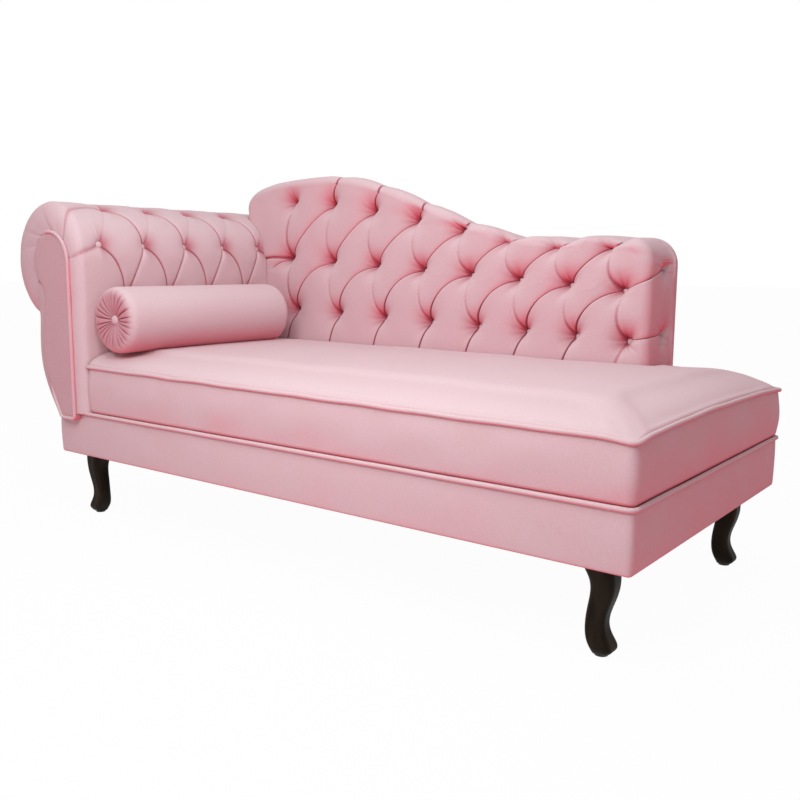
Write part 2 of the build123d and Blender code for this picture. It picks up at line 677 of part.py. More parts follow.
# Back
def back_outline(margin, bottom, early=FRAME_EARLY):
    """Serpentine outline of the back, drawn in by margin; its fall starts early by that length."""
    left, right = BACK_LEFT + margin, BACK_RIGHT - margin
    crest, low = BACK_CREST - margin, BACK_LOW - margin
    corner = BACK_CORNER - margin
    start = BACK_LEFT + OGEE_START - early
    third = OGEE_LENGTH / 3
    shoulder_rise = BACK_SHOULDER / 3
    Line((left, bottom), (left, crest - BACK_SHOULDER))
    Bezier(
        (left, crest - BACK_SHOULDER),
        (left, crest - shoulder_rise),
        (left + OGEE_START / 4, crest),
        (start, crest),
    )
    Bezier((start, crest), (start + third, crest), (start + 2 * third, low), (start + 3 * third, low))
    Line((start + OGEE_LENGTH, low), (right - corner, low))
    CenterArc((right - corner, low - corner), corner, 0, 90)
    Line((right, low - corner), (right, bottom))
    Line((right, bottom), (left, bottom))


FOAM_FRONT = FRAME_REAR - POST_THICK - BACK_BOARD - BACK_FOAM
back_points = []
for row, (first, last, bow, left_height, right_height) in enumerate(BACK_ROWS):
    row_points = []
    for column in range(BACK_COLUMNS):
        share = column / (BACK_COLUMNS - 1)
        x = BACK_LEFT + first + share * (BACK_LENGTH - first - last) + bow * sin(pi * share)
        fall = share
        if row == len(BACK_ROWS) - 1:
            run = x - BACK_LEFT - ROW_FALL_START * OGEE_START
            fall = smooth_step(run / (ROW_FALL_LENGTH * OGEE_LENGTH))
        row_points.append(Vector(x, PAD_FRONT, left_height + fall * (right_height - left_height)))
    back_points.append(row_points)

FORWARD = Vector(0, -1, 0)
BACK_TIE = FRAME_REAR - POST_THICK - PAD_FRONT - TUFT_DEPTH
back_spots = [point for row_points in back_points for point in row_points]
back_floors = [tuft_floor(point, FORWARD, TUFT_DEPTH) for point in back_spots]
back_tufts = [tuft(point, FORWARD, TUFT_DEPTH) for point in back_spots]
# The pleats climb to the right: from the seat, through one button of each row, to the top edge
back_pleats = [[pleat(Vector(point.X, PAD_FRONT, SEAM), point, FORWARD) for point in back_points[0]]]
for lower_row, upper_row in zip(back_points, back_points[1:]):
    back_pleats.append([pleat(lower, upper, FORWARD) for lower, upper in zip(lower_row, upper_row[1:])])
top_ends = [
    Vector(point.X + TOP_PLEAT_LEAN, PAD_FRONT, BACK_CREST) for point in back_points[-1]
]
back_pleats.append([pleat(point, end, FORWARD) for point, end in zip(back_points[-1], top_ends)])

with BuildPart() as back_pad:
    with BuildSketch(elevation(FRAME_REAR)):
        with BuildLine():
            back_outline(0, SEAT_BOTTOM, REAR_EARLY)
        make_face()
    with BuildSketch(elevation(PAD_FRONT + BACK_EDGE)):
        with BuildLine():
            back_outline(0, SEAT_BOTTOM, 0)
        make_face()
    loft(ruled=True)
    # The front edge is rounded by outlines that draw in along a quarter circle
    for step in range(EDGE_STEPS + 1):
        turn = pi / 2 * step / EDGE_STEPS
        with BuildSketch(elevation(PAD_FRONT + BACK_EDGE * (1 - sin(turn)))):
            with BuildLine():
                back_outline(BACK_EDGE * (1 - cos(turn)), SEAT_BOTTOM, 0)
            make_face()
    loft(ruled=True)
    with BuildSketch(elevation(FRAME_REAR)):
        with BuildLine():
            back_outline(BACK_WRAP, SEAT_BOTTOM)
        make_face()
    extrude(amount=FRAME_REAR - FOAM_FRONT, mode=Mode.SUBTRACT)
    for cuts in [back_tufts] + back_pleats:
        add(cuts, mode=Mode.SUBTRACT)
    with Locations(*back_floors):
        Hole(TIE_RADIUS + BORE_GAP, BACK_TIE)
write(back_pad, "back_pad")

with BuildPart() as back_foam:
    with BuildSketch(elevation(FOAM_FRONT + BACK_FOAM)):
        with BuildLine():
            back_outline(BACK_WRAP, SEAT_BOTTOM)
        make_face()
    extrude(amount=BACK_FOAM)
    with Locations(*back_floors):
        Hole(TIE_RADIUS + BORE_GAP, BACK_TIE)
write(back_foam, "back_foam")

with BuildPart() as back_board:
    with BuildSketch(elevation(FOAM_FRONT + BACK_FOAM + BACK_BOARD)):
        with BuildLine():
            back_outline(BACK_WRAP, SEAT_BOTTOM)
        make_face()
    extrude(amount=BACK_BOARD)
    with Locations(*back_floors):
        Hole(TIE_RADIUS + BORE_GAP, BACK_TIE)
write(back_board, "back_board")

with BuildPart() as back_buttons:
    with Locations(*back_floors):
        Cone(BUTTON_RADIUS, BUTTON_RADIUS / 2, BUTTON_HEIGHT, align=FROM_BELOW)
        Cylinder(TIE_RADIUS, BACK_TIE, align=(Align.CENTER, Align.CENTER, Align.MAX))
write(back_buttons, "back_buttons")

# Posts: each laps the rear rail's inner face and stands on the rail's top
for number, x in enumerate(POST_X, start=1):
    with BuildPart() as post:
        with BuildSketch(elevation(FRAME_REAR)):
            with BuildLine():
                back_outline(BACK_WRAP, DECK)
            make_face()
            with Locations((x, DECK)):
                Rectangle(POST_WIDTH, BACK_CREST, align=(Align.CENTER, Align.MIN), mode=Mode.INTERSECT)
        extrude(amount=POST_THICK)
        with Locations((x, FRAME_REAR - POST_THICK, RAIL_BOTTOM)):
            Box(
                POST_WIDTH,
                POST_THICK - RAIL_THICK,
                RAIL_HEIGHT,
                align=(Align.CENTER, Align.MIN, Align.MIN),
            )
        with BuildSketch(elevation(FRAME_REAR)):
            with Locations(*[spot for spot in LAP_BOLTS if spot[0] == x]):
                Circle(BOLT_RADIUS + BORE_GAP)
        extrude(amount=POST_THICK, mode=Mode.SUBTRACT)
    write(post, f"back_post_{number}")

with BuildPart() as back_bolts:
    with BuildSketch(elevation(FRAME_REAR)):
        with Locations(*LAP_BOLTS):
            Circle(BOLT_RADIUS)
    extrude(amount=POST_THICK)
write(back_bolts, "back_bolts")

with BuildPart() as back_outside_cover:
    with BuildSketch(elevation(REAR)):
        with BuildLine():
            back_outline(COVER, DECK, REAR_EARLY)
        make_face()
    extrude(amount=COVER)
write(back_outside_cover, "back_outside_cover")

REAR_TURN = acos((BACK_LEFT - ROLL_X) / (ROLL_RADIUS - COVER)) * 180 / pi
with BuildPart() as arm_rear_cover:
    with BuildSketch(elevation(REAR)):
        with BuildLine():
            roll = CenterArc((ROLL_X, ROLL_HEIGHT), ROLL_RADIUS - COVER, REAR_TURN, ROLL_END - REAR_TURN)
            Line(roll @ 1, (LEFT, DECK))
            Line((LEFT, DECK), (BACK_LEFT, DECK))
            Line((BACK_LEFT, DECK), roll @ 0)
        make_face()
    extrude(amount=COVER)
write(arm_rear_cover, "arm_rear_cover")

# Bolster: it lies on the seat, along the arm
BOLSTER_X = ARM_INSIDE + BOLSTER_RADIUS + SOFT_GAP
BOLSTER_Z = CROWN_TOP + BOLSTER_RADIUS + SOFT_GAP
BOLSTER_Y = FRONT + BOLSTER_FRONT + BOLSTER_DOME
BOLSTER_TUBE = PAD_FRONT - BOLSTER_REAR - BOLSTER_DOME - BOLSTER_Y
CORE_RADIUS = BOLSTER_RADIUS - COVER

with BuildPart() as bolster_core:
    with BuildSketch(elevation(BOLSTER_Y)):
        with Locations((BOLSTER_X, BOLSTER_Z)):
            Circle(CORE_RADIUS)
    extrude(amount=-BOLSTER_TUBE)
write(bolster_core, "bolster_core")

with BuildPart() as bolster_cover:
    with BuildSketch(elevation(BOLSTER_Y)):
        with Locations((BOLSTER_X, BOLSTER_Z)):
            Circle(BOLSTER_RADIUS)
            Circle(CORE_RADIUS, mode=Mode.SUBTRACT)
    extrude(amount=-BOLSTER_TUBE)
write(bolster_cover, "bolster_cover")

BOLSTER_ENDS = {
    "front": (BOLSTER_Y, -1),
    "rear": (BOLSTER_Y + BOLSTER_TUBE, 1),
}
for end_name, (face, direction) in BOLSTER_ENDS.items():
    end_plane = Plane(origin=(BOLSTER_X, face, BOLSTER_Z), x_dir=(1, 0, 0), z_dir=(0, 0, direction))
    with BuildPart() as bolster_end:
        with BuildSketch(end_plane):
            with BuildLine():
                rim_side = Line((0, 0), (BOLSTER_RADIUS, 0))
                swell = ThreePointArc(
                    rim_side @ 1,
                    ((BOLSTER_RADIUS + BOLSTER_DIMPLE_RADIUS) / 2, BOLSTER_DOME),
                    (BOLSTER_DIMPLE_RADIUS, BOLSTER_DOME - BOLSTER_DIMPLE / 2),
                )
                slope = Line(swell @ 1, (BUTTON_RADIUS, BOLSTER_DOME - BOLSTER_DIMPLE))
                floor = Line(slope @ 1, (0, BOLSTER_DOME - BOLSTER_DIMPLE))
                Line(floor @ 1, (0, 0))
            make_face()
        revolve(axis=Axis((BOLSTER_X, face, BOLSTER_Z), (0, 1, 0)))
    write(bolster_end, f"bolster_end_{end_name}")
    with BuildPart() as bolster_button:
        seat = face + direction * (BOLSTER_DOME - BOLSTER_DIMPLE)
        with Locations(Plane(origin=(BOLSTER_X, seat, BOLSTER_Z), z_dir=(0, direction, 0))):
            Cone(BUTTON_RADIUS, BUTTON_RADIUS / 2, BUTTON_HEIGHT, align=FROM_BELOW)
    write(bolster_button, f"bolster_button_{end_name}")
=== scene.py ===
"""Recamier in pink tufted velvet: the visual pieces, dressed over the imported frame.

Metres. +X runs along the length to the open foot end, +Y from front to back, +Z up.
"""
import json

import bmesh
import bpy
import numpy as np
from mathutils import Matrix, Vector
from numpy import append, array, clip, cos, exp, linspace, maximum, minimum, pi, radians, sin
from numpy import sqrt, vstack, where


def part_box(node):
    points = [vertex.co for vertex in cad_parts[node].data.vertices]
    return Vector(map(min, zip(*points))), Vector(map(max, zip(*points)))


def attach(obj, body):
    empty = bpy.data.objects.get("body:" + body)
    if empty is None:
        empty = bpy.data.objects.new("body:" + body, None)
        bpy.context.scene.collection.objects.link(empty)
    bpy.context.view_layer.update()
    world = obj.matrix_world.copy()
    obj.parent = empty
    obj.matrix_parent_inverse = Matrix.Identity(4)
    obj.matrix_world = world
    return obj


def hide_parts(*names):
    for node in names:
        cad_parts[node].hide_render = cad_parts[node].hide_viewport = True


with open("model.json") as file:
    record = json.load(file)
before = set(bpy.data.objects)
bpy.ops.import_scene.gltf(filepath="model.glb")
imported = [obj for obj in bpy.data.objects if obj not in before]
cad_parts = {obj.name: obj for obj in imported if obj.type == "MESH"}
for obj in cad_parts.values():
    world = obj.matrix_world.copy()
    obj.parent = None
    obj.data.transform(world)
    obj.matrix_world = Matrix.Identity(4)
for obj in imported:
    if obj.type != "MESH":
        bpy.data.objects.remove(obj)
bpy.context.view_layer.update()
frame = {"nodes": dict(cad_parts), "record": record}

# Levels and faces read from the frame
LEFT, FRONT, BASE_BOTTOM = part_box("base_cover_front")[0]
RIGHT, _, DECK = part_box("base_cover_front")[1]
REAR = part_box("base_cover_rear")[1].y
SEAT_LEFT, _, SEAT_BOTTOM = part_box("seat_boxing")[0]
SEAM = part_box("seat_boxing")[1].z
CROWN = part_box("seat_top")[1].z - SEAM
ARM_LOW, ARM_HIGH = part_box("arm_pad")
ROLL_RADIUS = (ARM_HIGH.x - ARM_LOW.x) / 2
ROLL_X = ARM_HIGH.x - ROLL_RADIUS
ROLL_Z = ARM_HIGH.z - ROLL_RADIUS
FRAME_REAR = ARM_HIGH.y
FACING_LOW, FACING_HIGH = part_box("arm_facing_welt")
BACK_LEFT, PAD_FRONT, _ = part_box("back_pad")[0]
BACK_RIGHT, _, BACK_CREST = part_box("back_pad")[1]
NOTCH_GAP = 0.0005  # between the seat and the back's padding
NOTCH_X = BACK_RIGHT + NOTCH_GAP
NOTCH_Y = PAD_FRONT - NOTCH_GAP

# Tufting: how far each mark sinks below the top of the puffs, and how far it reaches
DIMPLE = 0.036
DIMPLE_REACH = 0.023
PLEAT = 0.0065
LIP = 0.0045  # width of the rolled edge of a pleat
OVERLAP = 0.0040  # how far that edge laps over the panel beside it
TUCK_REACH = 0.0045
TUCK_SPREAD = 0.020
PUFF = 0.0015
WRINKLE = 0.0030
WRINKLE_WIDTH = 0.0025
UNEVEN = 0.0006
BUTTON_RADIUS = 0.0105

PIPING = 0.0048  # radius of the welts


# Shared helpers
def ease(value, low=0.0, high=1.0):
    """Smooth step from 0 at low to 1 at high."""
    share = clip((value - low) / (high - low), 0.0, 1.0)
    return share * share * (3 - 2 * share)


def bell(value, width, power=2):
    """1 at zero, fading out within about a width."""
    return exp(-((value / width) ** power))


def quarter(share):
    """Rise of a quarter circle from 0 to 1."""
    return sqrt(1 - (1 - clip(share, 0, 1)) ** 2)


def stack(*parts):
    """Coordinates side by side along a new last axis."""
    return np.stack(np.broadcast_arrays(*parts), axis=-1)


def around(turn):
    return stack(cos(turn), sin(turn))


def full_turn(sides):
    return linspace(0, 2 * pi, sides, endpoint=False)


def norm(vectors):
    return np.linalg.norm(vectors, axis=-1)


def unit(vectors):
    return vectors / norm(vectors)[..., None]


def steps(*runs):
    """Values along (start, end, count) runs that follow on, with each meeting point once."""
    return np.concatenate([linspace(*run)[min(i, 1):] for i, run in enumerate(runs)])


def clustered(count):
    """Shares from 0 to 1, closer together near both ends."""
    share = np.arange(count) / count
    return 0.4 * share + 0.6 * (1 - cos(pi * share)) / 2


def repeated(shares, low, high):
    """The shares in each unit from low to high, and high itself."""
    return append(np.add.outer(np.arange(low, high), shares), high)


def bezier(points, count=40):
    """Cubic Bezier curve with four control points."""
    share = linspace(0, 1, count)[:, None]
    a, b, c, d = array(points)
    rest = 1 - share
    return rest**3 * a + 3 * rest**2 * share * b + 3 * rest * share**2 * c + share**3 * d


def spline(points, count=60):
    """Smooth curve through all the points."""
    knots = array(points, float)
    padded = vstack([2 * knots[0] - knots[1], knots, 2 * knots[-1] - knots[-2]])
    share = linspace(0, len(knots) - 1, count)
    first = minimum(share.astype(int), len(knots) - 2)
    t = (share - first)[:, None]
    p0, p1, p2, p3 = (padded[first + i] for i in range(4))
    bend, twist = 2 * p0 - 5 * p1 + 4 * p2 - p3, 3 * p1 - p0 - 3 * p2 + p3
    return p1 + 0.5 * t * (p2 - p0 + t * (bend + t * twist))


def arc(centre, radius, start, end, count=40):
    return array(centre) + radius * around(linspace(start, end, count))


def even(path, count, closed=False):
    """The same path with its points evenly spaced."""
    if closed:
        path = vstack([path, path[:1]])
    run = append(0, np.cumsum(norm(np.diff(path, axis=0))))
    wanted = linspace(0, run[-1], count, endpoint=not closed)
    return stack(*(np.interp(wanted, run, axis) for axis in path.T))


def round_path(corners, radius, count, closed=False):
    """Path with round corners, its points evenly spaced. An open one keeps its two ends."""
    corners = array(corners, float)
    starts = corners + radius * unit(np.roll(corners, 1, axis=0) - corners)
    ends = corners + radius * unit(np.roll(corners, -1, axis=0) - corners)
    path = [
        bezier([start, (start + 2 * here) / 3, (end + 2 * here) / 3, end], 9)
        for start, here, end in zip(starts, corners, ends)
    ]
    if not closed:
        path[0], path[-1] = corners[:1], corners[-1:]
    return even(vstack(path), count, closed)


def nearest_on(path, points):
    """Closest point of an open path to each point, and its distance."""
    gaps = np.full(len(points), np.inf)
    found = np.zeros_like(points)
    for start, run in zip(path[:-1], np.diff(path, axis=0)):
        length = run @ run
        if length < 1e-12:
            continue
        share = clip((points - start) @ run / length, 0, 1)
        spot = start + share[:, None] * run
        gap = ((points - spot) ** 2).sum(axis=1)
        nearer = gap < gaps
        gaps[nearer] = gap[nearer]
        found[nearer] = spot[nearer]
    return found, sqrt(gaps)


def ripple(x, y, scale, seed=0):
    """Gentle unevenness between -1 and 1, the same on every run."""
    total = np.zeros(np.broadcast(x, y).shape)
    random = np.random.default_rng(seed)
    for _ in range(6):
        turn = random.uniform(0, 2 * pi)
        pitch = scale * random.uniform(0.6, 1.5)
        phase = random.uniform(0, 2 * pi)
        total = total + sin((x * cos(turn) + y * sin(turn)) * 2 * pi / pitch + phase)
    return total / 6


def quads(rows, columns, wrap_rows=False, wrap_columns=False):
    """Faces of a grid of points that is stored row by row."""
    i, j = np.indices((rows - (not wrap_rows), columns - (not wrap_columns)))
    row, below, right = i * columns, (i + 1) % rows * columns, (j + 1) % columns
    return stack(row + j, row + right, below + right, below + j).reshape(-1, 4)


def ring_faces(rings, sides, shut_start=False):
    """Faces of rings of points. The last ring is shut, and the first one if asked."""
    faces = quads(rings, sides, wrap_columns=True).tolist()
    if shut_start:
        faces.append(list(range(sides))[::-1])
    return faces + [list(range((rings - 1) * sides, rings * sides))]


def new_object(name, data):
    made = bpy.data.objects.new(name, data)
    bpy.context.scene.collection.objects.link(made)
    return made


def piece(name, points, faces, material, nodes=(), body="sofa", painted_shade=None):
    """A smooth piece that rides on a body and stands for CAD nodes. Its painted shade darkens the velvet's
    colour.
    """
    mesh = bpy.data.meshes.new(name)
    mesh.from_pydata(np.asarray(points).tolist(), [], [list(map(int, f)) for f in faces])
    if painted_shade is not None:
        marks = mesh.attributes.new("painted_shade", "FLOAT", "POINT")
        marks.data.foreach_set("value", np.resize(clip(painted_shade, 0, 1), len(points)))
    shape = bmesh.new()
    shape.from_mesh(mesh)
    bmesh.ops.remove_doubles(shape, verts=shape.verts, dist=1e-5)
    bmesh.ops.dissolve_degenerate(shape, edges=shape.edges, dist=1e-5)
    loose = [v for v in shape.verts if not v.link_faces]
    bmesh.ops.delete(shape, geom=loose, context="VERTS")
    shape.to_mesh(mesh)
    shape.free()
    mesh.shade_smooth()
    mesh.materials.append(material)
    made = new_object(name, mesh)
    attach(made, body)
    if nodes:
        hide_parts(*nodes)
    return made


def vertices_of(made):
    flat = np.empty(len(made.data.vertices) * 3)
    made.data.vertices.foreach_get("co", flat)
    return flat.reshape(-1, 3)


CLOTH = {
    "quality": 4, "mass": 0.3, "tension_stiffness": 15, "compression_stiffness": 15, "shear_stiffness": 5,
    "bending_stiffness": 0.5, "vertex_group_mass": "held", "use_pressure": True,
}
CLOTH_FRAMES = 20


def swell(made, held, pressure, cap):
    """Cloth pressure swells a closed piece between its held points. No point moves further than cap."""
    group = made.vertex_groups.new(name="held")
    group.add(np.flatnonzero(held).tolist(), 1.0, "REPLACE")
    cloth = made.modifiers.new("cloth", "CLOTH")
    for name, value in CLOTH.items():
        setattr(cloth.settings, name, value)
    cloth.settings.uniform_pressure_force = pressure
    cloth.settings.effector_weights.gravity = 0
    cloth.point_cache.frame_start = 1
    cloth.point_cache.frame_end = CLOTH_FRAMES
    scene = bpy.context.scene
    for number in range(1, CLOTH_FRAMES + 1):
        scene.frame_set(number)
    rest = vertices_of(made)
    move = vertices_of(made.evaluated_get(bpy.context.evaluated_depsgraph_get())) - rest
    move *= minimum(1, cap / maximum(norm(move), 1e-9))[:, None]
    made.modifiers.remove(cloth)
    made.vertex_groups.remove(group)
    made.data.vertices.foreach_set("co", (rest + move).ravel())
    made.data.update()
    scene.frame_set(1)


def tube(path, radius, closed=False, sides=12):
    """Points and faces of a round tube along a path. An open one is shut at its ends."""
    ahead = np.roll(path, -1, axis=0) - np.roll(path, 1, axis=0)
    if not closed:
        ahead[0] = path[1] - path[0]
        ahead[-1] = path[-1] - path[-2]
    ahead = unit(ahead)
    side = np.cross(ahead[0], (0.3, 0.2, 0.93))  # a direction that no path here takes
    turn = full_turn(sides)[:, None]
    rings = []
    for point, along in zip(path, ahead):
        side = unit(side - along * side.dot(along))
        rings.append(point + radius * (cos(turn) * side + sin(turn) * np.cross(along, side)))
    if closed:
        faces = quads(len(path), sides, wrap_rows=True, wrap_columns=True)
    else:
        faces = ring_faces(len(path), sides, shut_start=True)
    return vstack(rings), faces


def furrow(sheet, start, end, depth, width, bow=0.0, fade=0.8):
    """Depth of a wrinkle that starts at a button and fades out along its way."""
    along = np.subtract(end, start)
    length = norm(along)
    along = along / length
    offset = sheet - start
    share = offset @ along / length
    across = offset @ array((-along[1], along[0])) - bow * 4 * share * (1 - share)
    left = (1 - clip(share, 0, 1)) ** fade
    return where((share > 0) & (share < 1), depth * exp(-np.abs(across) / width) * left, 0)


def wrinkled(sheet, centre, rays, depth, width=WRINKLE_WIDTH):
    """Depth of wrinkles that leave a button, by their angles in degrees and lengths."""
    ends = [centre + length * around(radians(angle)) for angle, length in rays]
    return sum(furrow(sheet, centre, end, depth, width) for end in ends)


def domes(name, spots, nodes, material, radius=BUTTON_RADIUS, body="sofa"):
    """Covered buttons: flattened domes at (place, outward direction) pairs."""
    rings, sides, flatness = 7, 20, 0.62
    lift = linspace(0, pi / 2, rings)[:, None]
    circle = radius * maximum(cos(lift) ** 0.8, 0.02)[..., None] * around(full_turn(sides))
    dome = stack(circle[..., 0], circle[..., 1], flatness * radius * sin(lift)).reshape(-1, 3)
    points, faces = [], []
    for place, outward in spots:
        turned = array(Vector(outward).to_track_quat("Z", "Y").to_matrix())
        first = len(points) * len(dome)
        faces += [[first + i for i in face] for face in ring_faces(rings, sides)]
        points.append(array(place) + dome @ turned.T)
    return piece(name, vstack(points), faces, material, nodes, body=body)


def sunk_spots(wrap, spots, sunk):
    """Places and outward directions of buttons sunk into a wrapped sheet."""
    place, outward = wrap(array(spots))[:2]
    return list(zip(place - outward * sunk, outward))


# Materials
PAINTED_LIGHT_DIRECTION = (-0.10, -0.32, 0.94)  # painted light: surfaces facing this way get the pale colour, surfaces turned away the deep one
ARM_PAINTED_LIGHT_DIRECTION = (0.42, -0.18, 0.89)  # painted light on the arm and the bolster, turned so that their right-facing surfaces are painted lit
PAINTED_SHADE_START = -0.70  # where the painted shade's deepest colour starts
ARM_PAINTED_SHADE_START = -1.05
PAINTED_LIGHT_FULL = 1.14
PAINTED_LIGHT_UNEVEN = 0.4
VELVET_PAINTED_SHADE = (0.88, 0.140, 0.195)  # painted shade: faces away from the painted light direction
VELVET_MIDDLE = (0.645, 0.415, 0.452)
VELVET_PAINTED_LIGHT = (0.65, 0.510, 0.535)  # painted light: faces it
PAINTED_SHADE_MIDDLE = (0.70, 0.32, 0.38)  # painted shade in creases, pits and folds: shares of the colour that are left
PAINTED_SHADE_DARK = (0.36, 0.16, 0.185)
SHEEN_TINT = (1.0, 0.80, 0.84, 1)
WHITE = (1, 1, 1)


def set_inputs(tree, node, inputs):
    """Gives each named or numbered input a value, or the output that feeds it."""
    for key, value in inputs.items():
        if isinstance(value, bpy.types.NodeSocket):
            tree.links.new(value, node.inputs[key])
        else:
            node.inputs[key].default_value = value


def add_node(tree, kind, inputs, output=0, **settings):
    """Adds a shader node and gives one of its outputs."""
    node = tree.nodes.new("ShaderNode" + kind)
    for name, value in settings.items():
        setattr(node, name, value)
    set_inputs(tree, node, inputs)
    return node.outputs[output]


def new_material(name):
    material = bpy.data.materials.new(name)
    material.use_nodes = True
    return material, material.node_tree, material.node_tree.nodes["Principled BSDF"]


def add_noise(tree, scale, detail=4.0, roughness=0.55, stretch=None):
    """Noise in the object's own space, so that it needs no UVs."""
    place = add_node(tree, "TexCoord", {}, "Object")
    if stretch:
        place = add_node(tree, "Mapping", {"Vector": place, "Scale": stretch})
    inputs = {"Vector": place, "Scale": scale, "Detail": detail, "Roughness": roughness}
    return add_node(tree, "TexNoise", inputs, "Fac")


def add_ramp(tree, source, first, last, middle=None):
    """Colours by value, from two or three (position, colour) stops."""
    colour = add_node(tree, "ValToRGB", {"Fac": source}, "Color")
    stops = colour.node.color_ramp.elements
    for stop, (position, tint) in zip(stops, (first, last)):
        stop.position = position
        stop.color = (*tint, 1)
    if middle:
        stops.new(middle[0]).color = (*middle[1], 1)
    return colour


def add_mix(tree, blend, share, a, b):
    inputs = {"Factor": share, "A": a, "B": b}
    return add_node(tree, "Mix", inputs, "Result", data_type="RGBA", blend_type=blend)


def add_bump(tree, source, strength, distance=0.0005):
    return add_node(tree, "Bump", {"Strength": strength, "Distance": distance, "Height": source}, "Normal")


def velvet_material(name, lit_from, deepest):
    """Pink velvet with painted light and shade: pale where a surface faces the painted light direction, deep
    where it turns away, and darkened by each point's painted shade.
    """
    material, tree, shader = new_material(name)
    inputs = {0: add_node(tree, "TexCoord", {}, "Normal"), 1: lit_from}
    facing_light = add_node(tree, "VectorMath", inputs, "Value", operation="DOT_PRODUCT")
    inputs = {0: add_noise(tree, 7.0, 5.0), 1: PAINTED_LIGHT_UNEVEN, 2: facing_light}
    uneven = add_node(tree, "Math", inputs, operation="MULTIPLY_ADD")
    inputs = {"Value": uneven, "From Min": deepest, "From Max": PAINTED_LIGHT_FULL}
    span = add_node(tree, "MapRange", inputs, "Result")
    colour = add_ramp(tree, span, (0.15, VELVET_PAINTED_SHADE), (1.0, VELVET_PAINTED_LIGHT), (0.64, VELVET_MIDDLE))
    painted_shade = add_node(tree, "Attribute", {}, "Fac", attribute_name="painted_shade")
    shade = add_ramp(tree, painted_shade, (0.0, WHITE), (1.0, PAINTED_SHADE_DARK), (0.5, PAINTED_SHADE_MIDDLE))
    shaded = add_mix(tree, "MULTIPLY", 1.0, colour, shade)
    grain = add_noise(tree, 420.0, 3.0, 0.7)
    set_inputs(tree, shader, {
        "Base Color": add_mix(tree, "OVERLAY", 0.20, shaded, grain),
        "Roughness": 0.9,
        "Specular IOR Level": 0.1,
        "Sheen Weight": 0.2,
        "Sheen Roughness": 0.5,
        "Sheen Tint": SHEEN_TINT,
        "Normal": add_bump(tree, grain, 0.35, 0.0006),
    })
    return material


def plain_material(name, low, high, roughness, *noise, bump=0.2, gloss=0.5, metallic=0.0):
    """Finish whose colour and height follow a noise."""
    material, tree, shader = new_material(name)
    grain = add_noise(tree, *noise)
    set_inputs(tree, shader, {
        "Base Color": add_ramp(tree, grain, (0.3, low), (0.7, high)),
        "Normal": add_bump(tree, grain, bump),
        "Roughness": roughness,
        "Specular IOR Level": gloss,
        "Metallic": metallic,
    })
    return material


def wood_material(*look, stretch, gloss=0.5):
    """Grain drawn out along the axis with the smallest stretch."""
    return plain_material(*look, 1.0, 6.0, 0.5, stretch, bump=0.15, gloss=gloss)


VELVET = velvet_material("pink_velvet", PAINTED_LIGHT_DIRECTION, PAINTED_SHADE_START)
# A copy with painted light from the right, for the arm and the bolster
VELVET_LIT_FROM_RIGHT = velvet_material("pink_velvet_lit_from_right", ARM_PAINTED_LIGHT_DIRECTION, ARM_PAINTED_SHADE_START)
FINISHES = {
    "velvet": VELVET,
    "leg_wood": wood_material(
        "dark_leg_wood", (0.004, 0.0026, 0.0017), (0.028, 0.018, 0.010), 0.5, stretch=(40, 40, 9), gloss=0.08
    ),
    "frame_wood": wood_material(
        "pine_frame", (0.42, 0.26, 0.13), (0.60, 0.41, 0.22), 0.7, stretch=(4, 60, 60)
    ),
    "board": wood_material("plywood_board", (0.46, 0.30, 0.16), (0.58, 0.41, 0.24), 0.75, stretch=(8, 8, 40)),
    "foam": plain_material("foam", (0.72, 0.62, 0.38), (0.80, 0.71, 0.47), 0.95, 180.0),
    "steel": plain_material("zinc_steel", (0.42, 0.42, 0.43), (0.58, 0.58, 0.58), 0.35, 90.0, metallic=1.0),
    "webbing": plain_material("jute_webbing", (0.30, 0.22, 0.12), (0.44, 0.33, 0.19), 0.9, 320.0),
    "lining": plain_material("black_lining", (0.012, 0.012, 0.013), (0.028, 0.028, 0.030), 0.95, 500.0),
    "glide": plain_material("black_glide", (0.010, 0.010, 0.010), (0.022, 0.022, 0.022), 0.5, 200.0),
}
for part in frame["record"]["subparts"]:
    for material_slot in frame["nodes"][part["node"]].material_slots:
        material_slot.material = FINISHES[part["material_slot"]]


# Back: a sheet with a lattice of buttons, wrapped over the edges of the outline
BACK_LOW = 0.728
BACK_CORNER = 0.065
BACK_SHOULDER = 0.062
BACK_EDGE = 0.024  # rounding of the front edge
SHOULDER_BULGE = 0.005
BULGE_HEIGHTS = (0.80, 0.85, 0.865)  # where it starts, is full and starts to fade
OGEE_START = 0.330
OGEE_FLAT = 0.257
OGEE_LENGTH = BACK_RIGHT - BACK_LEFT - OGEE_START - OGEE_FLAT
REAR_EARLY = 0.090  # how much earlier the top edge falls at the rear
TOP_FRONT = 0.038  # from the flat front to where that fall grows from
EDGE_TURN = BACK_EDGE * pi / 2
BACK_REACH = EDGE_TURN + FRAME_REAR - PAD_FRONT - BACK_EDGE  # from the flat front to the rear edge
SEAT_LINE = SEAM - 0.06  # where the velvet of the back goes down behind the seat
COLUMNS = 8
# Rows of buttons, lowest first: first and last column from the back's ends, shift of the middle columns,
# height of the first and last button, and how the tuck round the right end is pulled out of its row
BACK_ROWS = (
    (0.203, 0.054, 0.042, 0.522, 0.486, (0.0, 0.0)),
    (0.183, 0.069, 0.033, 0.675, 0.602, (0.038, -0.092)),
    (0.199, 0.102, 0.019, 0.838, 0.702, (0.066, -0.050)),
)
ROW_FALL_START = 0.5  # of the top row, as shares of the serpentine
ROW_FALL_LENGTH = 1.4
